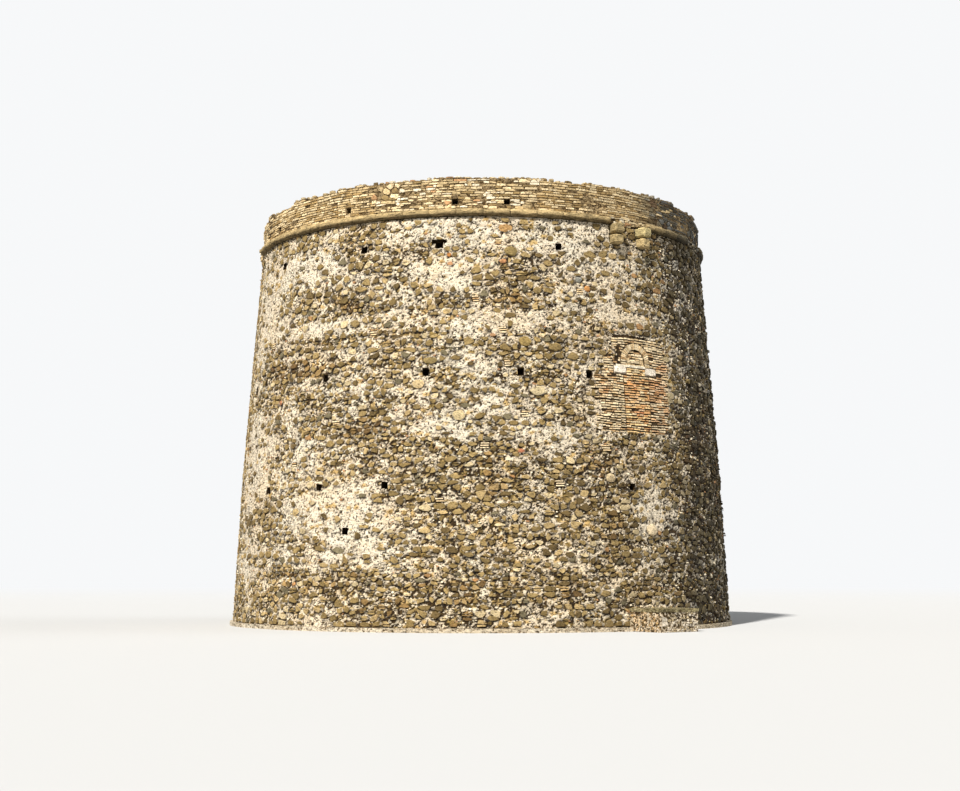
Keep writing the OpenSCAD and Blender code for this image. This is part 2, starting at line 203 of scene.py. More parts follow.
def clipped(outline, mu, mz, nu, nz):
    """Keeps the part of a convex outline behind the line at (mu, mz) with normal (nu, nz)."""
    kept = []
    pu, pz = outline[-1]
    before = (pu - mu) * nu + (pz - mz) * nz
    for u, z in outline:
        after = (u - mu) * nu + (z - mz) * nz
        if (before <= 0) != (after <= 0):
            t = before / (before - after)
            kept.append((pu + (u - pu) * t, pz + (z - pz) * t))
        if after <= 0:
            kept.append((u, z))
        pu, pz, before = u, z, after
    return kept


def shrunk(outline, gap, pull):
    """Draws an outline in by a gap and pulls far corners in."""
    cu, cz = middle(outline)
    spans = [math.hypot(u - cu, z - cz) for u, z in outline]
    mean = sum(spans) / len(outline)
    made = []
    for (u, z), span in zip(outline, spans):
        if span < 1e-5:
            continue
        goal = span + (mean * 1.12 - span) * pull if span > mean else span
        keep = max(0.25, (goal * draw.uniform(0.86, 1.07) - gap) / span)
        point = (cu + (u - cu) * keep, cz + (z - cz) * keep)
        if not made or math.dist(point, made[-1]) >= 0.018:
            made.append(point)
    return made


def broken(outline, longest=0.11):
    """Puts a jogged corner in the middle of each long edge."""
    made = []
    for (u, z), (v, w) in zip(outline, outline[1:] + outline[:1]):
        made.append((u, z))
        length = math.hypot(v - u, w - z)
        if length > longest:
            push = draw.uniform(-0.03, 0.13) * length
            made.append(((u + v) / 2 + push * (w - z) / length, (z + w) / 2 - push * (v - u) / length))
    return made


def off_line(u, z, line):
    """Distance from a place to a line of points."""
    best = 9.0
    for (au, az), (bu, bz) in zip(line, line[1:]):
        du, dz = bu - au, bz - az
        t = min(1.0, max(0.0, ((u - au) * du + (z - az) * dz) / (du * du + dz * dz)))
        best = min(best, math.hypot(u - au - t * du, z - az - t * dz))
    return best


# Tones: linear red, green and blue
def srgb(r, g, b):
    """Turns written 0-255 values into linear ones."""
    out = []
    for value in (r, g, b):
        c = value / 255
        out.append(c / 12.92 if c <= 0.04045 else ((c + 0.055) / 1.055) ** 2.4)
    return tuple(out)


def palette(*rows):
    """Tones with their share, from rows of red, green, blue and share."""
    return [(srgb(r, g, b), share) for r, g, b, share in rows]


def scaled(tone, light):
    return tuple(c * light for c in tone)


def blend(tone, other, share):
    return tuple(a + (b - a) * share for a, b in zip(tone, other))


def greyed(tone, shares, amount):
    """Takes away a share of each of red, green and blue."""
    return tuple(c * (1 - share * amount) for c, share in zip(tone, shares))


def pick(tones, lights=(0.74, 1.2)):
    """A tone from a palette with its own brightness."""
    roll = draw.random() * sum(share for _, share in tones)
    for tone, share in tones:
        roll -= share
        if roll <= 0:
            break
    return scaled(tone, draw.uniform(*lights))


STONES = palette(
    (166, 142, 94, 0.32), (142, 120, 76, 0.30), (190, 164, 115, 0.12), (114, 95, 60, 0.15),
    (188, 146, 97, 0.012), (214, 193, 150, 0.08), (122, 112, 86, 0.05),
)
BROWN_STONES = palette(
    (166, 136, 88, 0.33), (142, 114, 70, 0.30), (190, 160, 110, 0.14), (112, 88, 54, 0.20),
    (190, 142, 92, 0.02),
)
CHIPS = palette(
    (250, 236, 206, 0.46), (206, 184, 140, 0.20), (156, 134, 86, 0.20), (104, 84, 50, 0.07),
    (196, 150, 108, 0.07),
)
BRICKS = palette(
    (255, 218, 158, 0.42), (255, 230, 184, 0.28), (244, 188, 126, 0.24), (200, 156, 104, 0.06),
)
PALE_BRICKS = palette((255, 232, 190, 0.50), (238, 208, 160, 0.34), (204, 166, 118, 0.16))
RED_BRICKS = palette((252, 228, 188, 0.50), (234, 190, 142, 0.30), (200, 160, 114, 0.20))
CUT_STONES = palette((204, 184, 146, 0.5), (184, 162, 124, 0.3), (162, 142, 108, 0.2))
CORBEL_TONES = palette((206, 188, 136, 0.6), (190, 168, 122, 0.4))
PARAPET_TONES = palette(
    (246, 222, 176, 0.36), (218, 192, 144, 0.28), (166, 140, 94, 0.14), (212, 166, 118, 0.05),
    (255, 240, 208, 0.20),
)
COURSED_TONES = palette((246, 222, 176, 0.42), (220, 192, 142, 0.33), (180, 150, 100, 0.25))
BLOCK_TONES = palette(
    (250, 232, 204, 0.46), (204, 180, 138, 0.20), (128, 112, 82, 0.18), (66, 54, 36, 0.16),
)
ORANGE_BRICK = srgb(244, 158, 92)
RED_BRICK = srgb(226, 112, 70)
CORDON_TONE = srgb(206, 180, 130)
IMPOST_TONE = srgb(255, 242, 222)
IMPOST_BED = srgb(255, 242, 216)
STACK_JOINT = srgb(60, 45, 26)
MORTAR_PALE = srgb(243, 231, 210)
MORTAR_DENSE = srgb(251, 235, 207)
MORTAR_TAN = srgb(210, 180, 124)
MORTAR_OLIVE = srgb(160, 136, 82)
# Painted shade in the mortar's hollows, under stones and in cracks
HOLLOW_SHADE = srgb(14, 8, 3)


# Materials
BLACK = (0.0, 0.0, 0.0)
WHITE = (1.0, 1.0, 1.0)
# Painted shade for cracks, pits and crevices
CRACK_SHADE = (0.05, 0.03, 0.012)
PIT_SHADE = (0.075, 0.045, 0.015)
DEEP_PIT_SHADE = (0.026, 0.016, 0.006)
CREVICE_SHADE = (0.02, 0.012, 0.005)


def node(tree, kind, inputs=None, **values):
    """Adds a node; each input gets a value or is linked to a socket."""
    made = tree.nodes.new(kind)
    for key, value in values.items():
        setattr(made, key, value)
    for key, value in (inputs or {}).items():
        if isinstance(value, bpy.types.NodeSocket):
            tree.links.new(value, made.inputs[key])
        else:
            made.inputs[key].default_value = value
    return made


def new_material(name):
    """A dull material, its node tree, its shader and the place in object space."""
    material = bpy.data.materials.new(name)
    material.use_nodes = True
    tree = material.node_tree
    shader = tree.nodes["Principled BSDF"]
    shader.inputs["Roughness"].default_value = 0.92
    shader.inputs["Specular IOR Level"].default_value = 0.25
    return material, tree, shader, node(tree, "ShaderNodeTexCoord").outputs["Object"]


def noise_at(tree, place, scale, detail=4.0, rough=0.55, stretch=None):
    """Noise in object space; stretch squeezes it along an axis."""
    if stretch:
        place = node(tree, "ShaderNodeMapping", {"Scale": stretch, "Vector": place}).outputs["Vector"]
    inputs = {"Scale": scale, "Detail": detail, "Roughness": rough, "Vector": place}
    return node(tree, "ShaderNodeTexNoise", inputs).outputs["Fac"]


def ramp(tree, value, *stops):
    """Colours by value, from stops of position and colour."""
    made = node(tree, "ShaderNodeValToRGB", {"Fac": value})
    band = made.color_ramp
    while len(band.elements) < len(stops):
        band.elements.new(0.5)
    for element, (at, colour) in zip(band.elements, stops):
        element.position = at
        element.color = (*colour, 1.0)
    return made.outputs["Color"]


def mixed(tree, mode, factor, a, b):
    """Mixes two colours; a factor, a or b may be a socket or a value."""
    inputs = {0: factor}
    for index, value in ((6, a), (7, b)):
        inputs[index] = value if isinstance(value, bpy.types.NodeSocket) else (*value, 1.0)
    return node(tree, "ShaderNodeMix", inputs, data_type="RGBA", blend_type=mode).outputs[2]


def bumped(tree, shader, heights):
    """Chains bumps from (height socket, strength, distance) triples."""
    inputs = {}
    for height, strength, distance in heights:
        inputs.update({"Strength": strength, "Distance": distance, "Height": height})
        inputs["Normal"] = node(tree, "ShaderNodeBump", inputs).outputs["Normal"]
    tree.links.new(inputs["Normal"], shader.inputs["Normal"])


def stone_material(name, low=0.66, high=1.20, streak=None, grain=9.0):
    """Each stone's own tone, with stains, lichen and a rough face."""
    material, tree, shader, place = new_material(name)
    tone = node(tree, "ShaderNodeAttribute", attribute_name="tone").outputs["Color"]
    stain = noise_at(tree, place, 5.0, 5.0, 0.65, streak)
    shade = ramp(tree, stain, (0.30, (low,) * 3), (0.70, (high,) * 3))
    colour = mixed(tree, "MULTIPLY", 1.0, tone, shade)
    speck = noise_at(tree, place, 17.0, 3.0, 0.6, streak or (1.0, 1.0, 2.2))
    dark = ramp(tree, speck, (0.36, (0.20, 0.17, 0.13)), (0.46, WHITE))
    colour = mixed(tree, "MULTIPLY", 0.85, colour, dark)
    pale = ramp(tree, speck, (0.58, WHITE), (0.68, (1.5, 1.5, 1.55)))
    colour = mixed(tree, "MULTIPLY", 1.0, colour, pale)
    tree.links.new(colour, shader.inputs["Base Color"])
    coarse = noise_at(tree, place, grain, 6.0, 0.7, streak)
    bumped(tree, shader, ((coarse, 0.7, 0.03), (speck, 0.5, 0.012)))
    return material


def crumbs(tree, place, scale):
    """Cells of small lumps: distance from the gap between them, and a value for each lump."""
    shake = node(tree, "ShaderNodeTexNoise", {"Scale": scale * 1.6, "Detail": 2.0, "Vector": place})
    shaken = node(
        tree, "ShaderNodeVectorMath", {0: shake.outputs["Color"], 1: (0.035, 0.035, 0.035), 2: place},
        operation="MULTIPLY_ADD")
    low = node(tree, "ShaderNodeMapping", {"Scale": (1.0, 1.0, 1.55), "Vector": shaken.outputs[0]})
    inputs = {"Scale": scale, "Vector": low.outputs["Vector"]}
    edge = node(tree, "ShaderNodeTexVoronoi", inputs, feature="DISTANCE_TO_EDGE")
    lump = node(tree, "ShaderNodeTexVoronoi", inputs, feature="F1")
    return edge.outputs["Distance"], lump.outputs["Color"]


def matrix_material(name):
    """Lime mortar full of crumbs, with painted shade in the gaps between them, in pits and in crevices; the
    alpha of tone says how open the gaps between them are.
    """
    material, tree, shader, place = new_material(name)
    tone = node(tree, "ShaderNodeAttribute", attribute_name="tone")
    hue = noise_at(tree, place, 0.8, 3.0, 0.5)
    colour = ramp(tree, hue, (0.36, (1.0, 0.94, 0.85)), (0.50, (1.0, 0.97, 0.93)), (0.64, (0.95, 0.95, 0.93)))
    colour = mixed(tree, "MULTIPLY", 1.0, colour, tone.outputs["Color"])
    heights = []
    for scale, weight in ((8.5, 1.0), (15.0, 0.75)):
        edge, lump = crumbs(tree, place, scale)
        grade = ramp(tree, lump, (0.14, (0.40, 0.33, 0.22)), (0.26, (0.90, 0.86, 0.78)), (0.5, WHITE))
        colour = mixed(tree, "MULTIPLY", 0.5 * weight, colour, grade)
        # Painted shade in the gaps between crumbs, where the mortar is open
        gap = ramp(tree, edge, (0.02, CRACK_SHADE), (0.065, WHITE))
        open_here = ramp(tree, noise_at(tree, place, 2.3, 3.0, 0.6), (0.44, BLACK), (0.60, WHITE))
        amount = mixed(tree, "MULTIPLY", 1.0, open_here, tone.outputs["Alpha"])
        colour = mixed(tree, "MULTIPLY", amount, colour, gap)
        heights.append((edge, 0.8 * weight, 0.2 / scale))
    # Painted shade in pits
    pit = noise_at(tree, place, 19.0, 2.0, 0.5)
    hollow_shade = ramp(tree, pit, (0.385, BLACK), (0.415, WHITE))
    colour = mixed(tree, "MIX", hollow_shade, DEEP_PIT_SHADE, colour)
    # Painted shade in crevices
    crevice = noise_at(tree, place, 7.5, 2.0, 0.55, (1.0, 1.0, 1.9))
    hollow_shade = ramp(tree, crevice, (0.405, CREVICE_SHADE), (0.435, WHITE))
    colour = mixed(tree, "MULTIPLY", tone.outputs["Alpha"], colour, hollow_shade)
    tree.links.new(colour, shader.inputs["Base Color"])
    bumped(tree, shader, heights + [(crevice, 0.5, 0.05), (pit, 0.9, 0.03)])
    return material


def mortar_material(name, light, dark, pits=0.36, patch_scale=0.55):
    """Lime mortar: patches, thin broken lines and pits where grains fell out, dark with painted shade, and a
    rough skin.
    """
    material, tree, shader, place = new_material(name)
    patch = noise_at(tree, place, patch_scale, 6.0, 0.6)
    colour = ramp(tree, patch, (0.32, srgb(*dark)), (0.62, srgb(*light)))
    grain = noise_at(tree, place, 7.0, 4.0, 0.6, (1.0, 1.0, 1.5))
    shade = ramp(tree, grain, (0.36, (0.42, 0.33, 0.22)), (0.50, WHITE))
    colour = mixed(tree, "MULTIPLY", 0.8, colour, shade)
    for scale, flat in ((4.6, 1.9), (9.0, 1.6)):
        line = noise_at(tree, place, scale, 3.0, 0.55, (1.0, 1.0, flat))
        # Painted shade in thin cracks
        crack_shade = ramp(tree, line, (0.478, WHITE), (0.490, CRACK_SHADE), (0.502, CRACK_SHADE), (0.516, WHITE))
        colour = mixed(tree, "MULTIPLY", 0.85, colour, crack_shade)
    # Painted shade in pits
    pit = noise_at(tree, place, 13.0, 3.0, 0.5)
    hollow_shade = ramp(tree, pit, (pits, BLACK), (pits + 0.03, WHITE))
    colour = mixed(tree, "MIX", hollow_shade, PIT_SHADE, colour)
    tree.links.new(colour, shader.inputs["Base Color"])
    bumped(tree, shader, ((grain, 1.0, 0.09), (pit, 1.0, 0.05)))
    return material


bed_look = mortar_material("lime_mortar", (242, 229, 205), (208, 188, 154))
# Near-black mortar where the frame's faces show between the stones and the skin: painted shade of deep joints
deep_shade_look = mortar_material("shaded_bedding_mortar", (74, 56, 33), (38, 27, 13), 0.42)
skin_look = matrix_material("mortar_skin")
parapet_look = mortar_material("parapet_mortar", (196, 170, 126), (70, 52, 28), 0.42, 0.9)
# Dark brick joints: painted shade of recessed joints
shaded_joint_look = mortar_material("brick_joint_shade", (72, 54, 32), (28, 19, 9), 0.44, 2.5)
shaded_infill_look = mortar_material("infill_joint_shade", (74, 48, 26), (30, 18, 8), 0.44, 2.5)
block_look = mortar_material("block_mortar", (246, 230, 204), (196, 176, 140), 0.46, 2.0)
cap_look = mortar_material("cap_stone", (186, 172, 130), (104, 94, 62), 0.38, 2.5)
paving_look = mortar_material("paving_joint", (170, 152, 118), (130, 112, 84), 0.38, 2.0)
cut_look = mortar_material("cut_stone", (228, 212, 188), (196, 176, 148), 0.30, 3.0)
stone_look = stone_material("rubble_stone")
brick_look = stone_material("old_brick", 0.70, 1.15, None, 14.0)
cordon_look = stone_material("string_course_stone", 0.45, 1.25, (1.0, 1.0, 4.0))

# Materials of the frame
LOOKS = {
    "impost_stones": cut_look, "relieving_arch": shaded_joint_look, "arch_tympanum": shaded_joint_look,
    "brick_jamb_left": shaded_joint_look, "brick_jamb_right": shaded_joint_look, "brick_over_arch": shaded_joint_look,
    "doorway_infill": shaded_infill_look, "foot_block_cap": cap_look, "foot_block": block_look,
    "footing_course": bed_look, "terrace_paving": paving_look,
}
for name, obj in NODES.items():
    look = parapet_look if name.startswith("parapet") else LOOKS.get(name, deep_shade_look)
    obj.data.materials.clear()
    obj.data.materials.append(look)


# Meshes
def add_object(name, data):
    made = bpy.data.objects.new(name, data)
    bpy.context.scene.collection.objects.link(made)
    return made


def band(first, count):
    """Faces between two rings of points that follow each other."""
    return [
        (first + i, first + (i + 1) % count, first + count + (i + 1) % count, first + count + i)
        for i in range(count)
    ]


class Heap:
    """Gathers lumps of one colour each and turns them into one mesh."""

    def __init__(self):
        self.points = []
        self.faces = []
        self.tones = []

    def add(self, points, faces, tone, shaded_points=0, foot_shade=FOOT_SHADE):
        """Adds a form; its first points lie in the joint and get painted shade."""
        first = len(self.points)
        self.points.extend(points)
        self.faces.extend(tuple(first + i for i in face) for face in faces)
        self.tones.extend([scaled(tone, foot_shade)] * shaded_points)
        self.tones.extend([tone] * (len(points) - shaded_points))

    def lump(
        self, outline, place, height, tone,
        inset=0.16, bulge=0.25, skirt=SKIRT, tilt=0.3, rounds=1, foot_shade=FOOT_SHADE,
    ):
        """A stone: a skirt in the mortar with painted shade, one or two shoulders and a face that stands out
        by height.
        """
        count = len(outline)
        cu, cz = middle(outline)
        slope_u = draw.uniform(-tilt, tilt)
        slope_z = draw.uniform(-tilt, tilt)
        size = max(0.03, max(abs(u - cu) + abs(z - cz) for u, z in outline))
        points = [place(u, z, -skirt) for u, z in outline]
        shoulders = ((inset, 1.0),) if rounds == 1 else ((inset * 0.35, 0.62), (inset * 1.6, 1.0))
        for sunk, rise in shoulders:
            for u, z in outline:
                keep = 1 - sunk * draw.uniform(0.7, 1.3)
                lean = 1 + slope_u * (u - cu) / size + slope_z * (z - cz) / size
                points.append(place(cu + (u - cu) * keep, cz + (z - cz) * keep, height * rise * lean))
        off_u = draw.uniform(-0.15, 0.15) * size
        off_z = draw.uniform(-0.15, 0.15) * size
        points.append(place(cu + off_u, cz + off_z, height * (1 + bulge)))
        faces = [face for ring in range(rounds) for face in band(ring * count, count)]
        last = rounds * count
        faces += [(last + i, last + (i + 1) % count, last + count) for i in range(count)]
        self.add(points, faces, tone, count, foot_shade)

    def chip(self, outline, height, tone):
        """A crumb on the wall: a skirt with painted shade and one flat face."""
        count = len(outline)
        cu, cz = middle(outline)
        points = [wall_point(u, z, -0.004) for u, z in outline]
        for u, z in outline:
            top = height * draw.uniform(0.8, 1.15)
            points.append(wall_point(cu + (u - cu) * 0.72, cz + (z - cz) * 0.72, top))
        # The crumb's skirt keeps 0.45 of its tone as painted shade
        self.add(points, band(0, count) + [tuple(range(count, 2 * count))], tone, count, 0.45)

    def piece(self, name, material, slot, rounded=False):
        """The mesh of all that was gathered, as a piece of the tower."""
        mesh = bpy.data.meshes.new(name)
        mesh.from_pydata(self.points, [], self.faces)
        tone = mesh.attributes.new("tone", "FLOAT_COLOR", "POINT")
        flat = []
        for values in self.tones:
            flat.extend(values if len(values) == 4 else (*values, 1.0))
        tone.data.foreach_set("color", flat)
        mesh.polygons.foreach_set("use_smooth", [rounded] * len(mesh.polygons))
        mesh.materials.append(material)
        mesh.validate()
        mesh.update()
        piece = add_object(name, mesh)
        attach(piece, "root")
        return piece


def numbered_pieces(heaps, name, slot):
    """Pieces of stone, one for each stretch of the wall."""
    for index, heap in enumerate(heaps):
        heap.piece(f"{name}_{index + 1}", stone_look, slot)


# Damp, and painted shade, on the side that the key light leaves dark: azimuth where it starts, over how many
# degrees it comes, where it ends, over how many it goes
DAMP_AND_SHADE = (42.5, 12, 118, 20)
# Painted shade away from the key light: azimuth where it starts, over how many degrees it comes, where it
# ends, over how many it goes; then how much it darkens
SHADE_SPAN = (8, 28, 150, 40)
SHADE_DEPTH = 0.20
# Shares of red, green and blue that the damp and its painted shade take away
STONE_SOIL_AND_SHADE = (0.69, 0.66, 0.59)
MORTAR_SOIL_AND_SHADE = (0.10, 0.07, 0.0)
PARAPET_SOIL_AND_SHADE = (0.50, 0.48, 0.44)


def damp_and_shade(u, z):
    """How much of the damp side of the tower a place has, with ragged edges; that side is darkened by damp
    and by painted shade.
    """
    side = apart(u, 0)
    ragged = 7 * wave(side, z, 0.5, 0.4, 4.2) + 4 * wave(side, z, 1.6, 1.3, 8.4)
    return fading(azimuth(u) + ragged, *DAMP_AND_SHADE)


def shaded_soiled_tone(tone, u, z):
    """Darkens a stone with painted shade away from the key light, and towards the damp side, where damp and
    painted shade make it grey too.
    """
    painted_shade = 1 - SHADE_DEPTH * fading(azimuth(u), *SHADE_SPAN)
    return greyed(scaled(tone, painted_shade), STONE_SOIL_AND_SHADE, damp_and_shade(u, z))


# How much mortar shows: azimuth, height, half width in degrees, half height, amount
PATCHES = (
    (-50, 8.44, 17, 0.05, 1.2), (-52, 9.75, 17, 0.05, 1.1), (-5, 10.75, 9, 0.6, 0.65),
    (24, 10.3, 17, 0.95, 0.32), (-66, 10.4, 9, 1.0, 0.5), (-40, 4.6, 22, 1.7, 0.40),
    (-28, 3.4, 9, 0.9, 0.9), (-22, 2.15, 5, 0.4, 0.8), (-35, 2.1, 8, 0.4, 0.5),
    (12, 5.6, 10, 0.6, 0.4), (38.8, 3.4, 4, 0.6, 0.8), (52, 10.6, 8, 1.2, 0.3), (44, 3.5, 5, 0.5, 0.5),
    (-66, 5.2, 9, 2.0, 0.8), (-46, 11.25, 12, 0.4, 0.7), (2, 9.2, 12, 0.4, 0.8), (5, 6.9, 9, 0.6, 0.7),
    (-6, 11.9, 14, 0.3, 0.7), (12, 11.6, 12, 0.35, 0.6), (-36, 9.3, 9, 0.3, 0.4),
    (36, 9.4, 9, 0.3, 0.45), (-8, 6.0, 8, 0.4, 0.5), (-30, 7.3, 10, 0.3, 0.4), (8, 3.5, 7, 0.4, 0.4),
    (-54, 2.6, 16, 0.7, 0.2), (-2, 2.0, 8, 0.4, 0.3), (-34, 9.9, 18, 0.3, -0.4),
    (14, 8.2, 12, 0.3, -0.3), (-50, 8.1, 16, 0.25, -0.7), (-36, 8.0, 9, 0.25, -0.7),
    (-60, 7.3, 9, 0.3, -0.6), (0, 1.2, 60, 0.6, -0.3), (-4, 4.9, 14, 1.0, -0.25),
    (-30, 6.0, 10, 0.3, -0.5), (28, 4.2, 8, 1.5, -0.3), (62, 5.0, 10, 4.0, -0.2), (44, 4.7, 6, 0.4, -0.5),
    (-54, 11.1, 22, 0.9, 0.6), (38, 11.2, 6, 0.5, 0.5), (6, 12.26, 26, 0.12, 0.9),
    (12, 9.9, 8, 0.5, -0.2), (-50, 9.2, 16, 0.35, 0.35), (10, 8.9, 16, 0.3, -0.15),
)
# Amount of mortar over and under the doorway's foot, before noise and patches
MORTAR_OVER = 0.16
MORTAR_UNDER = 0.11
REAR_PATCHES = tuple(
    (
        75 + step * 13.0 + draw.uniform(-4, 4), draw.uniform(2.0, 11.0), draw.uniform(6, 18),
        draw.uniform(0.5, 1.6), draw.choice((0.8, 0.6, -0.5, -0.7)),
    )
    for step in range(16)
)


def mortar_amount(u, z):
    """From -1, stones only, to 1, mortar only."""
    x, y, _ = polar(u / REF_R, REF_R, z)
    amount = MORTAR_OVER if z > FACING_Z[0] else MORTAR_UNDER
    amount += 0.60 * wave_in(x, y, z, 0.42, 0.75) + 0.55 * wave_in(x, y, z, 1.3, 2.1)
    for at, height, half_w, half_h, more in PATCHES + REAR_PATCHES:
        du = abs(apart(u, around(at))) / around(half_w)
        dz = abs(z - height) / half_h
        if du < 1.5 and dz < 1.5:
            amount += more * smooth(1.5 - math.hypot(du, dz))
    return max(-1.0, min(1.0, amount))


GRID_U = 160
GRID_Z = 220
share_grid = [
    [mortar_amount(AROUND * i / GRID_U, NECK_Z * k / GRID_Z) for i in range(GRID_U)]
    for k in range(GRID_Z + 1)
]


def mortar_share(u, z):
    """The amount of mortar, read between the points of the grid."""
    a = (u / AROUND) % 1.0 * GRID_U
    b = min(GRID_Z - 1e-6, max(0.0, z / NECK_Z * GRID_Z))
    i, k = int(a), int(b)
    j = (i + 1) % GRID_U
    i %= GRID_U
    a -= int(a)
    b -= k
    low = share_grid[k][i] * (1 - a) + share_grid[k][j] * a
    high = share_grid[k + 1][i] * (1 - a) + share_grid[k + 1][j] * a
    return low * (1 - b) + high * b


def mortar_lift(u, z):
    """Mean level of the mortar over the CAD face."""
    return 0.020 + 0.006 * mortar_share(u, z)


# Open cracks in the wall, as azimuths and heights
FISSURES = (
    ((29.2, 4.52), (31.4, 4.30), (33.2, 4.22), (35.0, 3.98), (36.9, 3.86), (38.8, 3.62), (39.6, 3.30)),
    ((30.5, 6.0), (31.0, 5.6), (32.6, 5.3), (33.0, 4.9)),
)
FISSURE_LINES = [[(around(phi), z) for phi, z in line] for line in FISSURES]


def off_fissures(u, z):
    """Distance from the nearest open crack."""
    return min(off_line(apart(u, 0), z, line) for line in FISSURE_LINES)


# Edges of the brickwork, from the doorway's axis: on the left x in the middle, and a height and x for
# the narrow part over it and the wide part under it; on the right heights with their x
LEFT_X = -1.26
LEFT_OVER = (8.34, -0.76)
LEFT_UNDER = (7.75, -1.55)
RIGHT_EDGE = ((5.9, 1.15), (6.35, 1.32), (7.14, 1.43), (8.1, 1.48), (8.6, 1.30), (9.1, 1.20))
FACING_TOP = 8.98
FACING_REACH = 2.2
TOOTH_H = 0.155


def facing_edges(z):
    """First and last x of the brickwork at a height; both edges are ragged."""
    step = math.floor(z / TOOTH_H)
    tooth = 0.10 * noise.noise((step * 3.7, 1.5, 0))
    left = LEFT_X + tooth
    if z > LEFT_OVER[0]:
        left = LEFT_OVER[1] - 0.16 * smooth((z - LEFT_OVER[0]) / 0.5) + 0.4 * tooth
    elif z < LEFT_UNDER[0]:
        left = LEFT_UNDER[1] + 4.5 * tooth
    right = RIGHT_EDGE[-1][1]
    for (z0, x0), (z1, x1) in zip(RIGHT_EDGE, RIGHT_EDGE[1:]):
        if z0 <= z <= z1:
            right = x0 + (x1 - x0) * (z - z0) / (z1 - z0)
    return left, right + 0.12 * noise.noise((step * 2.9, 7.5, 0))


def in_facing(u, z, margin):
    """Whether a place lies in the brickwork of the doorway."""
    x = apart(u, around(DOOR_PHI)) * wall_r(z) / REF_R
    if abs(x) >= FACING_REACH:
        return False
    top = FACING_TOP + 0.08 * noise.noise((x * 2.6, 3.5, 0)) - 0.12 * smooth((x - 0.7) / 0.5)
    left, right = facing_edges(z)
    return FACING_Z[0] + margin < z < top - margin and left + margin < x < right - margin


# Single stones and tile scraps: azimuth, height of the middle, width, height, tone, how far it stands out
MARKED = (
    (5.0, 11.02, 0.26, 0.15, (190, 138, 94), 0.03), (-6.9, 10.95, 0.20, 0.15, (194, 146, 104), 0.03),
    (2.6, 8.80, 0.22, 0.13, (186, 144, 104), 0.03), (24.7, 10.31, 0.24, 0.20, (196, 142, 84), 0.04),
    (22.5, 10.56, 0.26, 0.20, (140, 138, 128), 0.05), (38.8, 3.06, 0.46, 0.40, (226, 206, 170), 0.09),
    (28.3, 4.60, 0.34, 0.30, (212, 190, 150), 0.08), (-7.2, 11.22, 0.16, 0.14, (206, 140, 78), 0.03),
    (8.4, 5.35, 0.24, 0.12, (186, 122, 90), 0.03), (-52.5, 7.1, 0.22, 0.16, (184, 128, 92), 0.03),
    (5.5, 12.03, 0.48, 0.26, (190, 150, 98), 0.035), (6.8, 11.33, 0.46, 0.34, (146, 126, 80), 0.04),
    (-13.6, 7.36, 0.42, 0.30, (204, 180, 136), 0.03), (-11.0, 8.05, 0.46, 0.22, (152, 132, 86), 0.04),
    (12.4, 7.15, 0.56, 0.30, (208, 190, 150), 0.03), (-4.6, 6.40, 0.42, 0.34, (206, 186, 142), 0.03),
    (9.6, 8.62, 0.42, 0.34, (160, 136, 84), 0.04), (16.4, 8.48, 0.50, 0.26, (146, 124, 80), 0.04),
)
# Stacks of tile scraps in the mortar: azimuth, height of the middle, width, layers
STACKS = (
    (-1.3, 9.92, 0.22, 4), (4.6, 8.95, 0.28, 3), (3.9, 11.62, 0.22, 3), (22.7, 10.20, 0.26, 3),
    (5.6, 7.95, 0.20, 3), (-24.5, 8.98, 0.26, 3), (9.2, 6.45, 0.26, 3), (-33.0, 6.3, 0.30, 2),
    (16.4, 4.4, 0.28, 3), (-8.5, 3.9, 0.26, 2), (27.5, 5.5, 0.30, 3), (-45.0, 5.1, 0.24, 2),
    (0.6, 5.5, 0.28, 3), (-58.0, 9.0, 0.24, 3), (96.0, 6.2, 0.28, 3), (133.0, 9.3, 0.26, 3),
    (171.0, 4.9, 0.28, 3), (214.0, 8.2, 0.26, 3), (251.0, 5.7, 0.28, 3),
)
STACK_STEP = 0.068


# Places that rubble keeps clear of: middle, half width, lowest and highest z
def taken(phi, z, width, height):
    return (around(phi), width / 2, z - height / 2, z + height / 2)


def drain_places(way):
    """The drains' mouths; way is -1 on the inner face, where u runs the other way round."""
    return [(around(way * phi), DRAIN_HALF + 0.01, *DRAIN_Z) for phi in DRAINS]


HOLES = [taken(phi, z, PUTLOG + 0.02, PUTLOG + 0.02) for z, azimuths in PUTLOGS for phi in azimuths]
HOLES += [taken(*BROKEN_MOUTH), (around(BLOCK_PHI), BLOCK_HALF - 0.05, 0.0, BLOCK_H)]
HOLES += [(around(phi), CORBEL_HALF + 0.02, CORBEL_Z[0], CORBEL_Z[2]) for phi in CORBEL_PHIS]
CLEAR = HOLES + [taken(*row[:4]) for row in MARKED]
CLEAR += [taken(phi, z, width, layers * STACK_STEP) for phi, z, width, layers in STACKS]


def in_hole(u, z):
    return any(abs(apart(u, mid)) < half and low < z < high for mid, half, low, high in HOLES)


def cut_clear(outline, u, z, clear):
    """Trims an outline back from the places kept clear; None where it lies inside one."""
    for mid, half, low, high in clear:
        du = apart(u, mid)
        if abs(du) > half + 0.5 or z < low - 0.5 or z > high + 0.5:
            continue
        side = abs(du) - half
        rise = max(low - z, z - high)
        if side < 0 and rise < 0:
            return None
        if side >= rise:
            way = 1 if du > 0 else -1
            outline = clipped(outline, u - du + way * half, z, -way, 0)
        elif z > high:
            outline = clipped(outline, u, high, 0, -1)
        else:
            outline = clipped(outline, u, low, 0, 1)
        if len(outline) < 3:
            return None
    return outline


# Rubble
CELL_NEIGHBOURS = 14
# Heights count this many times as much as widths when a cell's neighbours are chosen
FLAT = 1.3


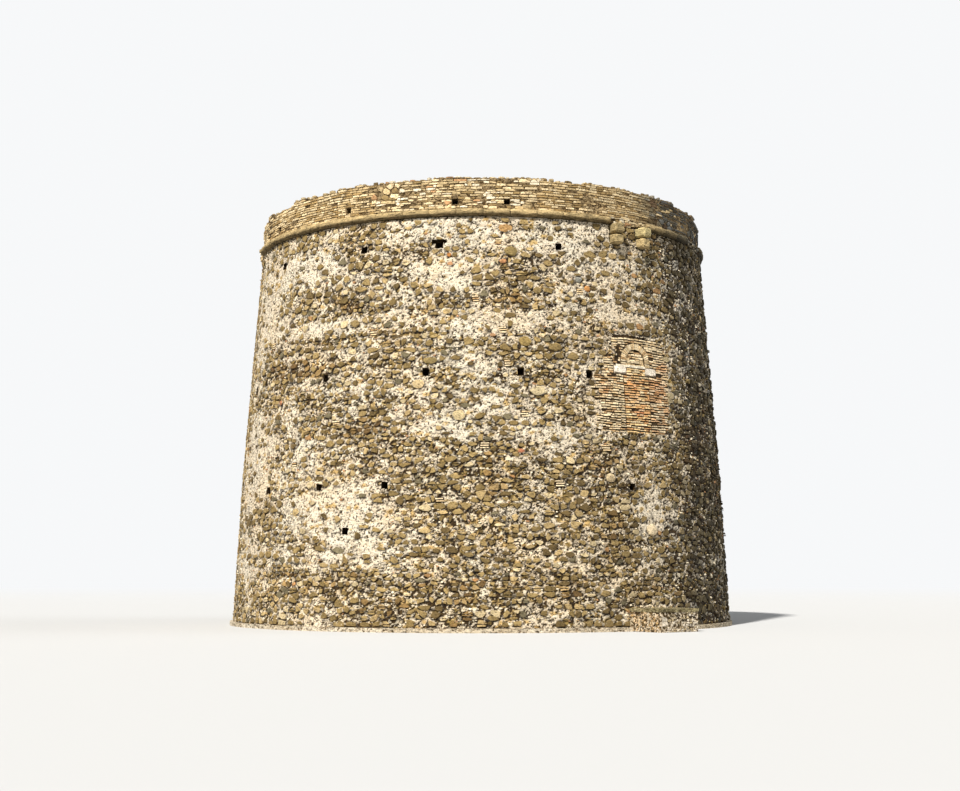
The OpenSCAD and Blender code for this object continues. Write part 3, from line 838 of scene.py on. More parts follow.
def rows(low, high, height_at, length, stretch):
    """Points in rough courses, as (u, z, size)."""
    points = []
    z = low
    row = 0
    while z < high:
        height = height_at(z) * draw.uniform(0.62, 1.4)
        if high - z < height * 1.4:
            height = high - z
        u = draw.uniform(0, 0.3)
        while u < length - 0.06:
            width = height * stretch * min(1.8, draw.lognormvariate(0, 0.5))
            phi = u / REF_R
            wobble = 0.5 * height * noise.noise((3 * math.cos(phi), 3 * math.sin(phi), row * 1.7))
            points.append((
                u + width / 2,
                min(high, max(low, z + height / 2 + wobble + draw.uniform(-0.3, 0.3) * height)),
                math.sqrt(width * height),
            ))
            u += width
        z += height
        row += 1
    return points


def cells(points, low, high, length):
    """Cell of each point among its neighbours, as (outline, u, z, size)."""
    tree_points = []
    for index, (u, z, _) in enumerate(points):
        for turn in (-length, 0, length):
            if -1.0 < u + turn < length + 1.0:
                tree_points.append((u + turn, z, index))
    tree = kdtree.KDTree(len(tree_points))
    for index, (u, z, _) in enumerate(tree_points):
        tree.insert((u, z * FLAT, 0), index)
    tree.balance()
    made = []
    for u, z, size in points:
        reach = 3 * size
        outline = box(u - reach, u + reach, z - reach, z + reach)
        outline = clipped(outline, u, low, 0, -1)
        outline = clipped(outline, u, high, 0, 1)
        for _, index, gap in tree.find_n((u, z * FLAT, 0), CELL_NEIGHBOURS):
            if gap < 1e-6 or len(outline) < 3:
                continue
            nu, nz, other = tree_points[index]
            share = 0.5 * (1 + 0.35 * (size - points[other][2]) / (size + points[other][2]))
            du = nu - u
            dz = (nz - z) * FLAT
            outline = clipped(outline, u + du * share, z + (nz - z) * share, du, dz * FLAT)
        if len(outline) >= 3:
            made.append((outline, u, z, size))
    return made


# Stones of the wall
STONE_H = 0.172
FOOT_STONE_H = 0.186
WALL_STRETCH = 1.85
wall_heaps = [Heap() for _ in range(8)]
foot_heaps = [Heap() for _ in range(2)]
# Where the stones are: middle, half width, half height
standing = []


def wall_heap(u, z):
    if z < FOOT_BAND_Z:
        return foot_heaps[sector(u, 2)]
    return wall_heaps[sector(u, 8)]


def marked_stones():
    """The stones and scraps that are placed one by one."""
    corners = 8
    for phi, z, width, height, tone, proud in MARKED:
        u = around(phi)
        outline = []
        for corner in range(corners):
            turn = math.pi * (2 * corner + draw.uniform(-0.4, 0.4)) / corners
            outline.append((
                u + width * 0.52 * math.cos(turn) * draw.uniform(0.88, 1.05),
                z + height * 0.52 * math.sin(turn) * draw.uniform(0.88, 1.05),
            ))
        standing.append((u, z, width / 2, height / 2))
        wall_heap(u, z).lump(outline, wall_point, proud, srgb(*tone), inset=0.2, rounds=2)


def tile_stacks():
    """Tile scraps laid flat on each other, before a dark joint."""
    for phi, z, width, layers in STACKS:
        mid, half, bottom, top = taken(phi, z, width, layers * STACK_STEP)
        heap = wall_heap(mid, z)
        for layer in range(layers):
            low = z + (layer - layers / 2) * STACK_STEP + 0.012
            left = mid - half + draw.uniform(0, 0.05)
            right = left + width * 0.9
            tile = [(left, low), (right, low + 0.006), (right, low + 0.040), (left, low + 0.036)]
            heap.lump(tile, wall_point, 0.048, pick(PALE_BRICKS, (0.9, 1.1)), inset=0.05, bulge=0.05)
        joint = box(mid - half, mid + half, bottom, top)
        heap.lump(joint, wall_point, 0.030, STACK_JOINT, inset=0.03, bulge=0.0)


def is_left_out(u, z, size, share, loose):
    """Whether mortar or a crack takes a stone's place; the small ones go first."""
    small = 0.4 * smooth((0.19 - size) / 0.06) * max(0.0, share + 0.2)
    chance = 0.19 + 0.15 * loose + 0.42 * max(0.0, share) + small
    return draw.random() < chance or off_fissures(u, z) < 0.06


def field_stone(outline, u, z, size, share, loose):
    """One stone, or now and then two thin slabs above each other."""
    tones = STONES if share > -0.25 or draw.random() < 0.35 else BROWN_STONES
    damp_shade = damp_and_shade(u, z)
    # Share of its tone that the stone's foot keeps as painted shade, more on the damp side
    foot_shade = FOOT_SHADE + 0.5 * damp_shade
    tone = shaded_soiled_tone(pick(tones), u, z)
    if size < 0.20 and draw.random() < 0.20 * damp_shade:
        tone = pick(CHIPS, (0.45, 0.8))
    height = mortar_lift(u, z) + draw.uniform(0.006, 0.036 - 0.016 * loose) + damp_shade * draw.uniform(0.0, 0.045)
    half_w, half_h = (max(0.03, (max(side) - min(side)) / 2) for side in zip(*outline))
    standing.append((u, z, half_w, half_h))
    heap = wall_heap(u, z)
    if share < 0.1 and half_h > 0.06 and draw.random() < 0.40 - 0.3 * loose:
        cut = z + draw.uniform(-0.02, 0.02)
        for slab in (clipped(outline, u, cut - 0.010, 0, 1), clipped(outline, u, cut + 0.010, 0, -1)):
            if len(slab) > 2:
                heap.lump(slab, wall_point, height * draw.uniform(0.6, 1.15), tone, inset=0.14, foot_shade=foot_shade)
        return
    rounds = 2 if size > 0.17 else 1
    heap.lump(
        broken(outline), wall_point, height, tone, inset=0.08, bulge=0.04, tilt=0.2, rounds=rounds, foot_shade=foot_shade)


def field_stones(points):
    """Lays a stone in each cell, smaller and rarer where mortar covers the wall."""
    for outline, u, z, size in cells(points, *CELLS_Z, AROUND):
        share = mortar_share(u, z)
        loose = 0.5 + 0.5 * share
        if in_facing(u, z, -0.04) or is_left_out(u, z, size, share, loose):
            continue
        outline = cut_clear(outline, u, z, CLEAR)
        if outline is None:
            continue
        fill = draw.uniform(0.46, 0.84 - 0.04 * loose)
        outline = shrunk(outline, 0.010 + size * 0.5 * (1 - fill), 0.12 + 0.28 * loose)
        if len(outline) >= 3:
            field_stone(outline, u, z, size, share, loose)


def stone_height(z):
    return FOOT_STONE_H if z < FOOT_BAND_Z else STONE_H


wall_points = rows(*STONES_Z, stone_height, AROUND, WALL_STRETCH)
marked_stones()
tile_stacks()
field_stones(wall_points)
numbered_pieces(wall_heaps, "rubble_stones", "rubble_wall")
numbered_pieces(foot_heaps, "foot_stones", "foot_stones")

stone_tree = kdtree.KDTree(3 * len(standing))
for index, (u, z, _, _) in enumerate(standing):
    for turn in (-AROUND, 0, AROUND):
        stone_tree.insert((u + turn, z, 0), index)
stone_tree.balance()


def from_stone(u, z):
    """Distance from the rim of the nearest stone, below 0 behind it, and how far the place is under it."""
    best = (9.0, 0.0)
    for _, index, _ in stone_tree.find_n((u, z, 0), 3):
        at_u, at_z, half_w, half_h = standing[index]
        du = apart(u, at_u) / half_w
        dz = (z - at_z) / half_h
        span = math.hypot(du, dz)
        rim = (span - 1) * min(half_w, half_h)
        if rim < best[0]:
            best = (rim, 0.5 - 0.5 * dz / max(span, 1e-6))
    return best


# Mortar between the stones: size of its lumps, and spacing of its points
LUMP = 0.165
FINE_LUMP = 0.10
FINE_PITCH = 0.052
COARSE_PITCH = 0.12


def lump_at(x, y, z, size):
    """Of the lump of mortar at a place: how far its rim is, and a value of its own from -1 to 1."""
    distances, centres = noise.voronoi((x / size, y / size, 1.5 * z / size))
    return distances[1] - distances[0], noise.cell(centres[0] * 7.31)


def skin_at(u, z):
    """Level of the mortar with its lumps and hollows, how open it is and the lump's own value."""
    share = mortar_share(u, z)
    x, y, _ = polar(u / REF_R, REF_R, z)
    rim, value = lump_at(x, y, z, LUMP)
    fine_rim, _ = lump_at(x + 50, y, z, FINE_LUMP)
    wide = 0.056 - 0.046 * smooth(0.40 + 0.70 * share) + 0.12 * damp_and_shade(u, z)
    wide = max(0.006, wide * (1 + 1.1 * wave_in(x, y, z, 1.9, 2.6)))
    gap = max(smooth(1.5 - rim / wide), smooth(1.4 - fine_rim / wide))
    calm = (1 - 0.5 * smooth(share)) * (1 + 1.2 * damp_and_shade(u, z))
    level = mortar_lift(u, z) + 0.008 * wave_in(x, y, z, 2.7, 3.2)
    return level + calm * (0.024 * min(0.5, rim) + 0.004 * value) - 0.026 * gap, gap, value


# Crumbs of stone and old mortar between the stones
CHIP_TRIES = 36000
chip_heaps = [Heap() for _ in range(2)]


def has_no_room(u, z, span):
    """Whether a crumb would meet a stone, a crack or the brickwork, or is left out by chance."""
    if from_stone(u, z)[0] < span * 0.6 or off_fissures(u, z) < span + 0.02 or in_facing(u, z, -0.04):
        return True
    if draw.random() < max(0.75 * max(0.0, mortar_share(u, z)), 0.18 - 0.18 * damp_and_shade(u, z)):
        return True
    return not FRONT[0] < azimuth(u) < FRONT[1] and draw.random() < 0.45


def crumb_outline(u, z, span):
    """Four or five corners, further apart in width than in height."""
    outline = []
    turn = draw.uniform(0, math.pi)
    corners = draw.choice((4, 5))
    for _ in range(corners):
        outline.append((
            u + 1.45 * span * draw.uniform(0.6, 1.15) * math.cos(turn),
            z + 0.90 * span * draw.uniform(0.6, 1.15) * math.sin(turn),
        ))
        turn += math.pi * 2 / corners * draw.uniform(0.75, 1.1)
    return outline


for _ in range(CHIP_TRIES):
    u = draw.uniform(0, AROUND)
    z = draw.uniform(0.2, NECK_Z - 0.08)
    span = 0.018 + 0.036 * draw.random() ** 1.6
    if has_no_room(u, z, span):
        continue
    outline = cut_clear(crumb_outline(u, z, span), u, z, CLEAR)
    if outline:
        height = max(0.0, skin_at(u, z)[0]) + draw.uniform(0.006, 0.012 + 0.5 * span)
        chip_heaps[sector(u, 2)].chip(outline, height, pick(CHIPS))
numbered_pieces(chip_heaps, "wall_chips", "rubble_wall")


# Mortar as a rough skin over the wall
def skin_tone(share, value, hollow_shade, damp_shade):
    """Colour of the mortar, greyed by damp and painted shade on the damp side and blended to painted shade in
    hollows, with how open the gaps in it are as its alpha.
    """
    pale = smooth(0.45 + 0.70 * share)
    tone = blend(MORTAR_DENSE, MORTAR_PALE, pale)
    if value > 0.30 + 0.6 * pale:
        tone = MORTAR_TAN if value < 0.68 + 0.3 * pale else MORTAR_OLIVE
    open_gaps = 0.9 - 0.65 * smooth(0.15 + 0.9 * share)
    return (*blend(greyed(tone, MORTAR_SOIL_AND_SHADE, damp_shade), HOLLOW_SHADE, hollow_shade), open_gaps)


def skin_point(u, z):
    """Point and tone of the skin, which sinks and gets painted shade under stones, between lumps and in
    cracks.
    """
    share = mortar_share(u, z)
    height, gap, value = skin_at(u, z)
    rim, under = from_stone(u, z)
    # Painted shadow under each stone, faint at its sides and top
    hollow_shade = 0.0
    if rim > -0.05:
        reach = 0.010 + (0.048 - 0.022 * smooth(0.4 + 0.8 * share)) * under
        hollow_shade = smooth(1.35 - abs(rim) / reach) * (0.10 + 0.90 * smooth(1.6 * under - 0.3))
    else:
        height = min(height, 0.004)
    split = smooth(1.3 - off_fissures(u, z) / 0.05) * smooth(0.9 + 2.2 * wave(u, z, 3.1, 3.1, 5.0))
    hollow_shade = max(hollow_shade, gap, 0.8 * split)
    return wall_point(u, z, height - 0.012 * hollow_shade), skin_tone(share, value, hollow_shade, damp_and_shade(u, z))


def skin(name, phi0, phi1, pitch):
    """A grid of shaken points between two azimuths, open at the holes and the brickwork."""
    u0, u1 = around(phi0), around(phi1)
    low, high = SKIN_Z
    across = max(1, round((u1 - u0) / pitch))
    up = max(1, round((high - low) / pitch))
    heap = Heap()
    for row in range(up + 1):
        for column in range(across + 1):
            u = u0 + (u1 - u0) * column / across
            z = low + (high - low) * row / up
            if 0 < column < across and 0 < row < up:
                u += draw.uniform(-0.3, 0.3) * pitch
                z += draw.uniform(-0.3, 0.3) * pitch
            point, tone = skin_point(u, z)
            heap.points.append(point)
            heap.tones.append(tone)
    for row in range(up):
        z = low + (high - low) * (row + 0.5) / up
        for column in range(across):
            u = u0 + (u1 - u0) * (column + 0.5) / across
            if not in_facing(u, z, 0.02) and not in_hole(u, z):
                first = row * (across + 1) + column
                heap.faces.append((first, first + 1, first + across + 2, first + across + 1))
    heap.piece(name, skin_look, "rubble_wall", rounded=True)


front_mid = sum(FRONT) / 2
for index, (phi0, phi1, pitch) in enumerate((
    (FRONT[0], front_mid, FINE_PITCH), (front_mid, FRONT[1], FINE_PITCH),
    (FRONT[1], front_mid + 180, COARSE_PITCH), (front_mid + 180, FRONT[0] + 360, COARSE_PITCH),
)):
    skin(f"mortar_skin_{index + 1}", phi0, phi1, pitch)

# Walled-up doorway: courses of thin brick
COURSE = 0.077
JOINT = 0.030
TYMPANUM_BACK = 0.025
FACING_PROUD = 0.020
CLOSING_PROUD = 0.014
# The courses are thinner below this height
THIN_BELOW = 6.42
# The crack beside the arch, from its top down, as (x, z) from the doorway's axis
CRACK_LINE = ((-0.82, 9.0), (-0.97, 8.87), (-0.80, 8.71), (-0.67, 8.56), (-0.68, 8.39), (-0.65, 8.15))
# Redder fields of the facing: x, z, half width, half height, how red
FACING_FIELDS = ((0.9, 7.5, 0.6, 0.5, 0.35), (1.2, 8.1, 0.4, 0.3, 0.5), (-1.2, 7.3, 0.3, 0.3, 0.3))
# Fields of the closed doorway: x, z, half width, half height, where the edge fades, how strong, tone
CLOSING_FIELDS = (
    (-0.18, 7.3, 0.40, 0.60, 1.15, (0.15, 0.6), ORANGE_BRICK),
    (0.05, 6.62, 0.30, 0.13, 1.2, (0.2, 0.6), RED_BRICK),
)


def door_point(x, z, h):
    """Point on the wall face, x metres to the right of the door axis."""
    r = wall_r(z)
    return polar(math.radians(DOOR_PHI) + math.asin(x / r), r + h, z)


def tympanum_point(x, z, h):
    """Point on the face under the arch, which lies back from the wall."""
    return door_point(x, z, h - TYMPANUM_BACK)


def lay(heap, place, x0, x1, z0, z1, height, tone, rough=0.006):
    """One brick, a little out of square."""
    outline = [
        (x + draw.uniform(-rough, rough), z + draw.uniform(-rough, rough)) for x, z in box(x0, x1, z0, z1)
    ]
    heap.lump(outline, place, height * draw.uniform(0.4, 1.5), tone, inset=0.07, bulge=0.05, tilt=0.2)


def course(heap, place, x0, x1, z, height, tone_at, lengths=(0.09, 0.30), thick=COURSE - JOINT, gaps=0.012):
    """A row of bricks from x0 to x1 that waves a little."""
    x = x0
    while x < x1 - 0.04:
        end = x + draw.uniform(*lengths)
        if x1 - end < 0.07:
            end = x1
        if draw.random() > gaps:
            lift = 0.040 * wave(x, z, 1.5, 0.8, 2.0) + 0.014 * wave(x, z, 5.0, 5.0, 4.0)
            low = z + lift + draw.uniform(-0.008, 0.008)
            top = low + thick * draw.uniform(0.62, 1.28)
            lay(heap, place, x + 0.006, end - 0.006, low, top, height, tone_at((x + end) / 2, z), 0.010)
        x = end


def facing_tone(x, z):
    """Pale brick, redder to the right of the closed doorway."""
    warm = 0.0
    for at_x, at_z, half_w, half_h, red in FACING_FIELDS:
        warm += red * smooth(1 - abs(x - at_x) / half_w) * smooth(1 - abs(z - at_z) / half_h)
    return blend(pick(PALE_BRICKS if z > 7.7 or x < 0 else RED_BRICKS), ORANGE_BRICK, warm)


def closing_tone(x, z):
    """Tan brick with an orange field and a red one low down."""
    tone = pick(BRICKS)
    for at_x, at_z, half_w, half_h, edge, strength, other in CLOSING_FIELDS:
        amount = smooth(edge - math.hypot((x - at_x) / half_w, (z - at_z) / half_h))
        tone = blend(tone, other, amount * draw.uniform(*strength))
    return tone


def ring_x(r, z):
    """Half width at height z of the arch's line of radius r."""
    rise = z - IMPOST_Z[1] - ARCH_STILT
    if rise <= 0:
        return r
    return math.sqrt(max(0.0, r * r - rise * rise))


def opening_half(z):
    """Half width that a course leaves to the doorway, the imposts and the arch."""
    if z > IMPOST_Z[1] + ARCH_STILT + ARCH_OUT:
        return 0.0
    if z >= IMPOST_Z[1]:
        return max(ring_x(ARCH_OUT, z), ring_x(ARCH_OUT, z + COURSE - JOINT)) + 0.015
    if z + COURSE > IMPOST_Z[0]:
        return IMPOST_X[1] + 0.01
    return DOOR_HALF


def facing_course(heap, x0, x1, z, thick):
    """Short runs of bricks inside the brickwork's edges, which leave the crack open."""
    mid_z = z + COURSE / 2
    x = x0
    while x < x1 - 0.04:
        end = min(x1, x + draw.uniform(0.3, 0.7))
        mid = (x + end) / 2
        runs = [(x, end)]
        if off_line(mid, mid_z, CRACK_LINE) <= 0.10:
            runs = [(a, b) for a, b in ((x, mid - 0.07), (mid + 0.07, end)) if b - a > 0.05]
        if in_facing(around(DOOR_PHI) + mid * REF_R / wall_r(z), mid_z, -0.03):
            for a, b in runs:
                course(heap, door_point, a, b, z, FACING_PROUD, facing_tone, thick=thick)
        x = end


def doorway_bricks():
    """Courses on both sides of the doorway, over its arch and in it."""
    facing = Heap()
    closing = Heap()
    for step in range(int((FACING_Z[1] - FACING_Z[0]) / COURSE)):
        z = FACING_Z[0] + 0.012 + step * COURSE
        thick = (COURSE - JOINT) * (0.8 if z < THIN_BELOW else 1.0)
        half = opening_half(z)
        left, right = facing_edges(z + COURSE / 2)
        facing_course(facing, left, -half, z, thick)
        facing_course(facing, half, right, z, thick)
        if z + COURSE < IMPOST_Z[1]:
            inner = (DOOR_HALF if z + COURSE < IMPOST_Z[0] else IMPOST_X[0]) - 0.01
            course(
                closing, door_point, -inner, inner, z, CLOSING_PROUD, closing_tone, (0.10, 0.28), thick, 0.02)
    facing.piece("facing_bricks", brick_look, "pale_brick")
    closing.piece("closing_bricks", brick_look, "orange_brick")


doorway_bricks()

# Arch of thin bricks on edge, and the masonry under it
BRICK_STEP = 0.062
BRICK_T = 0.05


def arch_bricks():
    """The ring's bricks, and two flat ones on each side of its foot."""
    heap = Heap()
    centre_z = IMPOST_Z[1] + ARCH_STILT
    count = round(math.pi * (ARCH_IN + ARCH_OUT) / 2 / BRICK_STEP)
    for i in range(count):
        a0 = math.pi * (i + 0.10) / count
        a1 = math.pi * (i + 0.90) / count
        inner = ARCH_IN + draw.uniform(-0.004, 0.008)
        outer = ARCH_OUT + draw.uniform(-0.02, 0.012)
        corners = ((inner, a0), (inner, a1), (outer, a1), (outer, a0))
        outline = [(r * math.cos(a), centre_z + r * math.sin(a)) for r, a in corners]
        proud = draw.uniform(0.018, 0.036)
        heap.lump(outline, door_point, proud, pick(PALE_BRICKS), inset=0.08, bulge=0.05)
    for side in (-1, 1):
        x0, x1 = sorted((side * ARCH_IN, side * ARCH_OUT))
        for i in range(2):
            z = IMPOST_Z[1] + 0.005 + i * BRICK_STEP
            lay(heap, door_point, x0, x1, z, z + BRICK_T, 0.025, pick(PALE_BRICKS))
    heap.piece("arch_bricks", brick_look, "pale_brick")


def tympanum_bricks():
    """Level courses as wide as the arch leaves."""
    heap = Heap()
    for step in range(7):
        z = IMPOST_Z[1] + 0.01 + step * COURSE
        half = ring_x(ARCH_IN, z + COURSE - JOINT) - 0.015
        if half > 0.06:
            course(
                heap, tympanum_point, -half, half, z, 0.016, lambda x, z: pick(PALE_BRICKS),
                (0.12, 0.3), COURSE - 0.018)
    heap.piece("tympanum_bricks", brick_look, "pale_brick")


def impost_faces():
    """Worn faces of the two impost stones, with a line of mortar over them."""
    heap = Heap()
    low, high = IMPOST_Z
    for side in (-1, 1):
        x0, x1 = sorted((side * IMPOST_X[0], side * IMPOST_X[1]))
        mid = (x0 + x1) / 2
        outline = [
            (x0, low + 0.04), (mid, low + 0.01), (x1, low + 0.05),
            (x1, high - 0.05), (mid + 0.05, high), (x0, high - 0.02),
        ]
        heap.lump(outline, door_point, 0.030, IMPOST_TONE, inset=0.10, bulge=0.15, tilt=0.1)
    for x0, x1 in ((-0.78, -0.34), (-0.34, 0.06), (0.06, 0.40)):
        outline = [(x0, high - 0.035), (x1, high - 0.045), (x1, high + 0.030), (x0, high + 0.040)]
        heap.lump(outline, door_point, 0.022, IMPOST_BED, inset=0.05)
    heap.piece("impost_faces", stone_look, "impost_stone")


arch_bricks()
tympanum_bricks()
impost_faces()

# String course: a square bed that ends in a half-round nose, its stones weathered
CORDON_STEP = 6.5
CORDON_MID = (NECK_Z + CORDON_TOP) / 2
CORDON_HALF = (CORDON_TOP - NECK_Z) / 2
NOSE_MID = CORDON_NOSE - CORDON_HALF
PROFILE = 11


def cordon_stone(heap, phi0, phi1, tone, wear):
    """One stone: rough and worn inwards, with painted shade on its underside."""
    length = max(4, round(math.radians(phi1 - phi0) * NECK_R / 0.09))
    points = []
    tones = []
    for i in range(length + 1):
        along = i / length
        phi = math.radians(phi0 + (phi1 - phi0) * along)
        end = 1 - 0.05 * (max(0.0, 1 - along * 7) + max(0.0, 1 - (1 - along) * 7))
        x, y, _ = polar(phi, CORDON_NOSE, CORDON_MID)
        for k in range(PROFILE + 1):
            turn = -math.pi / 2 + math.pi * k / PROFILE
            up = math.sin(turn)
            rough = wave_in(x, y, up, 9, 7) * 0.018 + wear * abs(wave_in(x, y, up, 2.3, 2))
            reach = CORDON_HALF * end - 0.014 - rough + 0.007 * wave_in(x, y, up, 1.3, 11)
            points.append(polar(phi, NOSE_MID + reach * math.cos(turn), CORDON_MID + reach * up))
            # Painted shade on the underside of the nose
            underside_shade = smooth((-up - 0.25) / 0.5) * draw.uniform(0.6, 1.0)
            crusted = 0.55 * smooth(4 * wave_in(x, y, up, 4.1, 5) - 0.6)
            tones.append(scaled(tone, (1 - 0.78 * underside_shade) * (1 - crusted)))
        points.append(polar(phi, CORDON_TAIL + 0.02, CORDON_MID + CORDON_HALF * 0.985))
        points.append(polar(phi, CORDON_TAIL + 0.02, CORDON_MID - CORDON_HALF * 0.985))
        tones.extend([tone, tone])
    ring = PROFILE + 3
    faces = [face for i in range(length) for face in band(i * ring, ring)]
    faces.append(tuple(range(ring - 1, -1, -1)))
    faces.append(tuple(length * ring + k for k in range(ring)))
    heap.add(points, faces, tone)
    heap.tones[-len(points):] = tones


for name, runs in CORDON.items():
    heap = Heap()
    for phi0, phi1 in runs:
        stones = max(1, round((phi1 - phi0) / CORDON_STEP))
        step = (phi1 - phi0) / stones
        for i in range(stones):
            start = phi0 + i * step
            tone = shaded_soiled_tone(scaled(CORDON_TONE, draw.uniform(0.86, 1.1)), around(start), NECK_Z)
            cordon_stone(heap, start + 0.02, start + step - 0.05, tone, draw.uniform(0.02, 0.05))
    piece = heap.piece(name + "_stones", cordon_look, "cordon_stone", rounded=True)
    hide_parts(name)


def backing_point(u, z, h):
    return polar(u / REF_R, NECK_R + h, z)


def backing_stones():
    """Thin broken stones where the string course is gone."""
    heap = Heap()
    for phi0, phi1 in GONE:
        z = NECK_Z + 0.008
        while z < CORDON_TOP - 0.03:
            thick = draw.uniform(0.045, 0.085)
            top = min(z + thick - 0.012, CORDON_TOP - 0.006)
            u = around(phi0) + 0.02
            while u < around(phi1) - 0.05:
                width = min(draw.uniform(0.08, 0.26), around(phi1) - 0.01 - u)
                mid = azimuth(u + width / 2)
                hidden = z < CORBEL_Z[2] and any(abs(mid - phi) < 2.4 for phi in CORBEL_PHIS)
                if not hidden and draw.random() < 0.88:
                    proud = draw.uniform(0.02, 0.11)
                    tone = shaded_soiled_tone(pick(PARAPET_TONES), u, z)
                    lay(heap, backing_point, u + 0.006, u + width - 0.006, z, top, proud, tone, 0.012)
                u += width
            z += thick
    heap.piece("cordon_backing_stones", stone_look, "rubble_wall")


backing_stones()

# Parapet
RUBBLE_H = 0.105
RUBBLE_STRETCH = 1.9
SLAB_T = 0.070
# Azimuths between which the parapet is laid in level courses
COURSED = ((-74, -24), (13, 43), (95, 130), (-150, -115))
# The rest is laid in rubble where noise reaches this, and in slabs elsewhere
RUBBLE_FROM = 0.2
parapet_heaps = [Heap() for _ in range(2)]
inner_heap = Heap()


def parapet_top(u):
    """Height of the parapet's top at an unrolled place."""
    phi = math.degrees(u / REF_R)
    low = next((lost for phi0, phi1, lost in PARAPET if (phi - phi0) % 360 <= phi1 - phi0), 0.0)
    for at, width, lost in WORN:
        if abs(apart(u, around(at))) / REF_R < width / 2:
            low = max(low, lost)
    return TOP_Z - low * PARAPET_H


def is_coursed(u):
    """Whether the parapet is laid in level courses here."""
    phi = (math.degrees(u / REF_R) + 180) % 360 - 180 + 2.0 * math.sin(u * 3)
    return any(low < phi < high for low, high in COURSED)


def is_rubble(u, z):
    """Whether rubble and not slabs lies here, outside the level courses."""
    return wave(u, z, 0.9, 1.4, 9.0) >= RUBBLE_FROM


def parapet_soil_and_shade(tone, u, z):
    """The damp side's grey and painted shade, which start earlier and are darker on the parapet."""
    return greyed(shaded_soiled_tone(tone, u, z), PARAPET_SOIL_AND_SHADE, damp_and_shade(u + around(4), z))


def parapet_rubble(heap_at, place, low, way, proud):
    """Rubble on a face of the parapet, up to its worn top; way is -1 on the inner face."""
    points = rows(low, TOP_Z - 0.03, lambda z: RUBBLE_H, AROUND, RUBBLE_STRETCH)
    for outline, u, z, _ in cells(points, low, TOP_Z, AROUND):
        top = parapet_top(way * u) - 0.012
        if z > top or is_coursed(way * u) or not is_rubble(u, z):
            continue
        outline = clipped(outline, u, top, 0, 1)
        phi = way * u / REF_R
        share = 0.05 + 0.8 * noise.noise((4 * math.cos(phi), 4 * math.sin(phi), z * 0.9))
        if len(outline) < 3 or share > 0 and draw.random() < share * 0.8:
            continue
        outline = cut_clear(outline, u, z, drain_places(way))
        if outline is None:
            continue
        outline = shrunk(outline, 0.008 + 0.022 * draw.random(), 0.4)
        if len(outline) >= 3:
            tone = parapet_soil_and_shade(pick(PARAPET_TONES), way * u, z)
            heap_at(u).lump(broken(outline), place, proud * draw.uniform(0.5, 1.5), tone, inset=0.12)


def slab(heap, place, way, u, width, z, thick, proud):
    """One thin slab, left out now and then and where mortar is smeared over the wall."""
    mid = u + width / 2
    neat = is_coursed(way * mid)
    if not neat and is_rubble(mid, z):
        return
    odd = 0.006 if neat else 0.014
    lift = 0.034 * noise.noise((math.cos(u / REF_R) * 9, math.sin(u / REF_R) * 9, z * 3))
    top = parapet_top(way * mid) - 0.01
    z0 = z + 0.011 + lift
    z1 = min(z + thick - 0.013 + lift, top)
    if not neat:
        z0 += draw.uniform(-0.012, 0.016)
        z1 = min(z1 + draw.uniform(-0.02, 0.022), top)
    smeared = 0.45 * smooth(4 * wave(mid, z, 0.7, 1.6, 3.0) - 0.8)
    if z1 - z0 <= 0.02 or draw.random() <= smeared + (0.06 if neat else 0.20):
        return
    left, right = u + 0.005, u + width - 0.005
    outline = [
        (left, z0 + draw.uniform(-odd, odd)), (u + width * 0.5, z0 - draw.uniform(0, odd)),
        (right, z0 + draw.uniform(-odd, odd)), (right, z1 + draw.uniform(-odd, 0.004)),
        (u + width * 0.45, z1 + draw.uniform(0, 0.006)), (left, z1 + draw.uniform(-odd, 0.004)),
    ]
    outline = cut_clear(outline, mid, (z0 + z1) / 2, drain_places(way))
    if outline:
        tone = pick(COURSED_TONES if neat else PARAPET_TONES, (0.82, 1.12))
        if draw.random() > 0.08:
            tone = parapet_soil_and_shade(tone, way * mid, z)
        heap.lump(outline, place, proud * draw.uniform(0.3, 1.4), tone, inset=0.09)


def parapet_slabs(heap_at, place, low, way, proud):
    """Thin slabs in level courses, and uneven ones outside them and the rubble."""
    z = low
    while z < TOP_Z - 0.05:
        thick = SLAB_T * draw.uniform(0.85, 1.25)
        u = draw.uniform(0, 0.2)
        while u < AROUND:
            width = draw.uniform(0.10, 0.44)
            slab(heap_at(u + width / 2), place, way, u, width, z, thick, proud)
            u += width
        z += thick


OUTER_FACE = (lambda u: parapet_heaps[sector(u, 2)], outer_parapet_point, CORDON_TOP + 0.005, 1)
INNER_FACE = (lambda u: inner_heap, inner_parapet_point, PAVING_Z + 0.005, -1)
parapet_rubble(*OUTER_FACE, 0.026)
parapet_rubble(*INNER_FACE, 0.022)
parapet_slabs(*OUTER_FACE, 0.020)
parapet_slabs(*INNER_FACE, 0.024)
numbered_pieces(parapet_heaps, "parapet_stones", "parapet_masonry")
inner_heap.piece("parapet_inner_stones", stone_look, "parapet_masonry")


def coping_point(u, r, h):
    """Point on the parapet's worn top."""
    return polar(u / REF_R, r, min(COPING_TOP, parapet_top(u) + h))


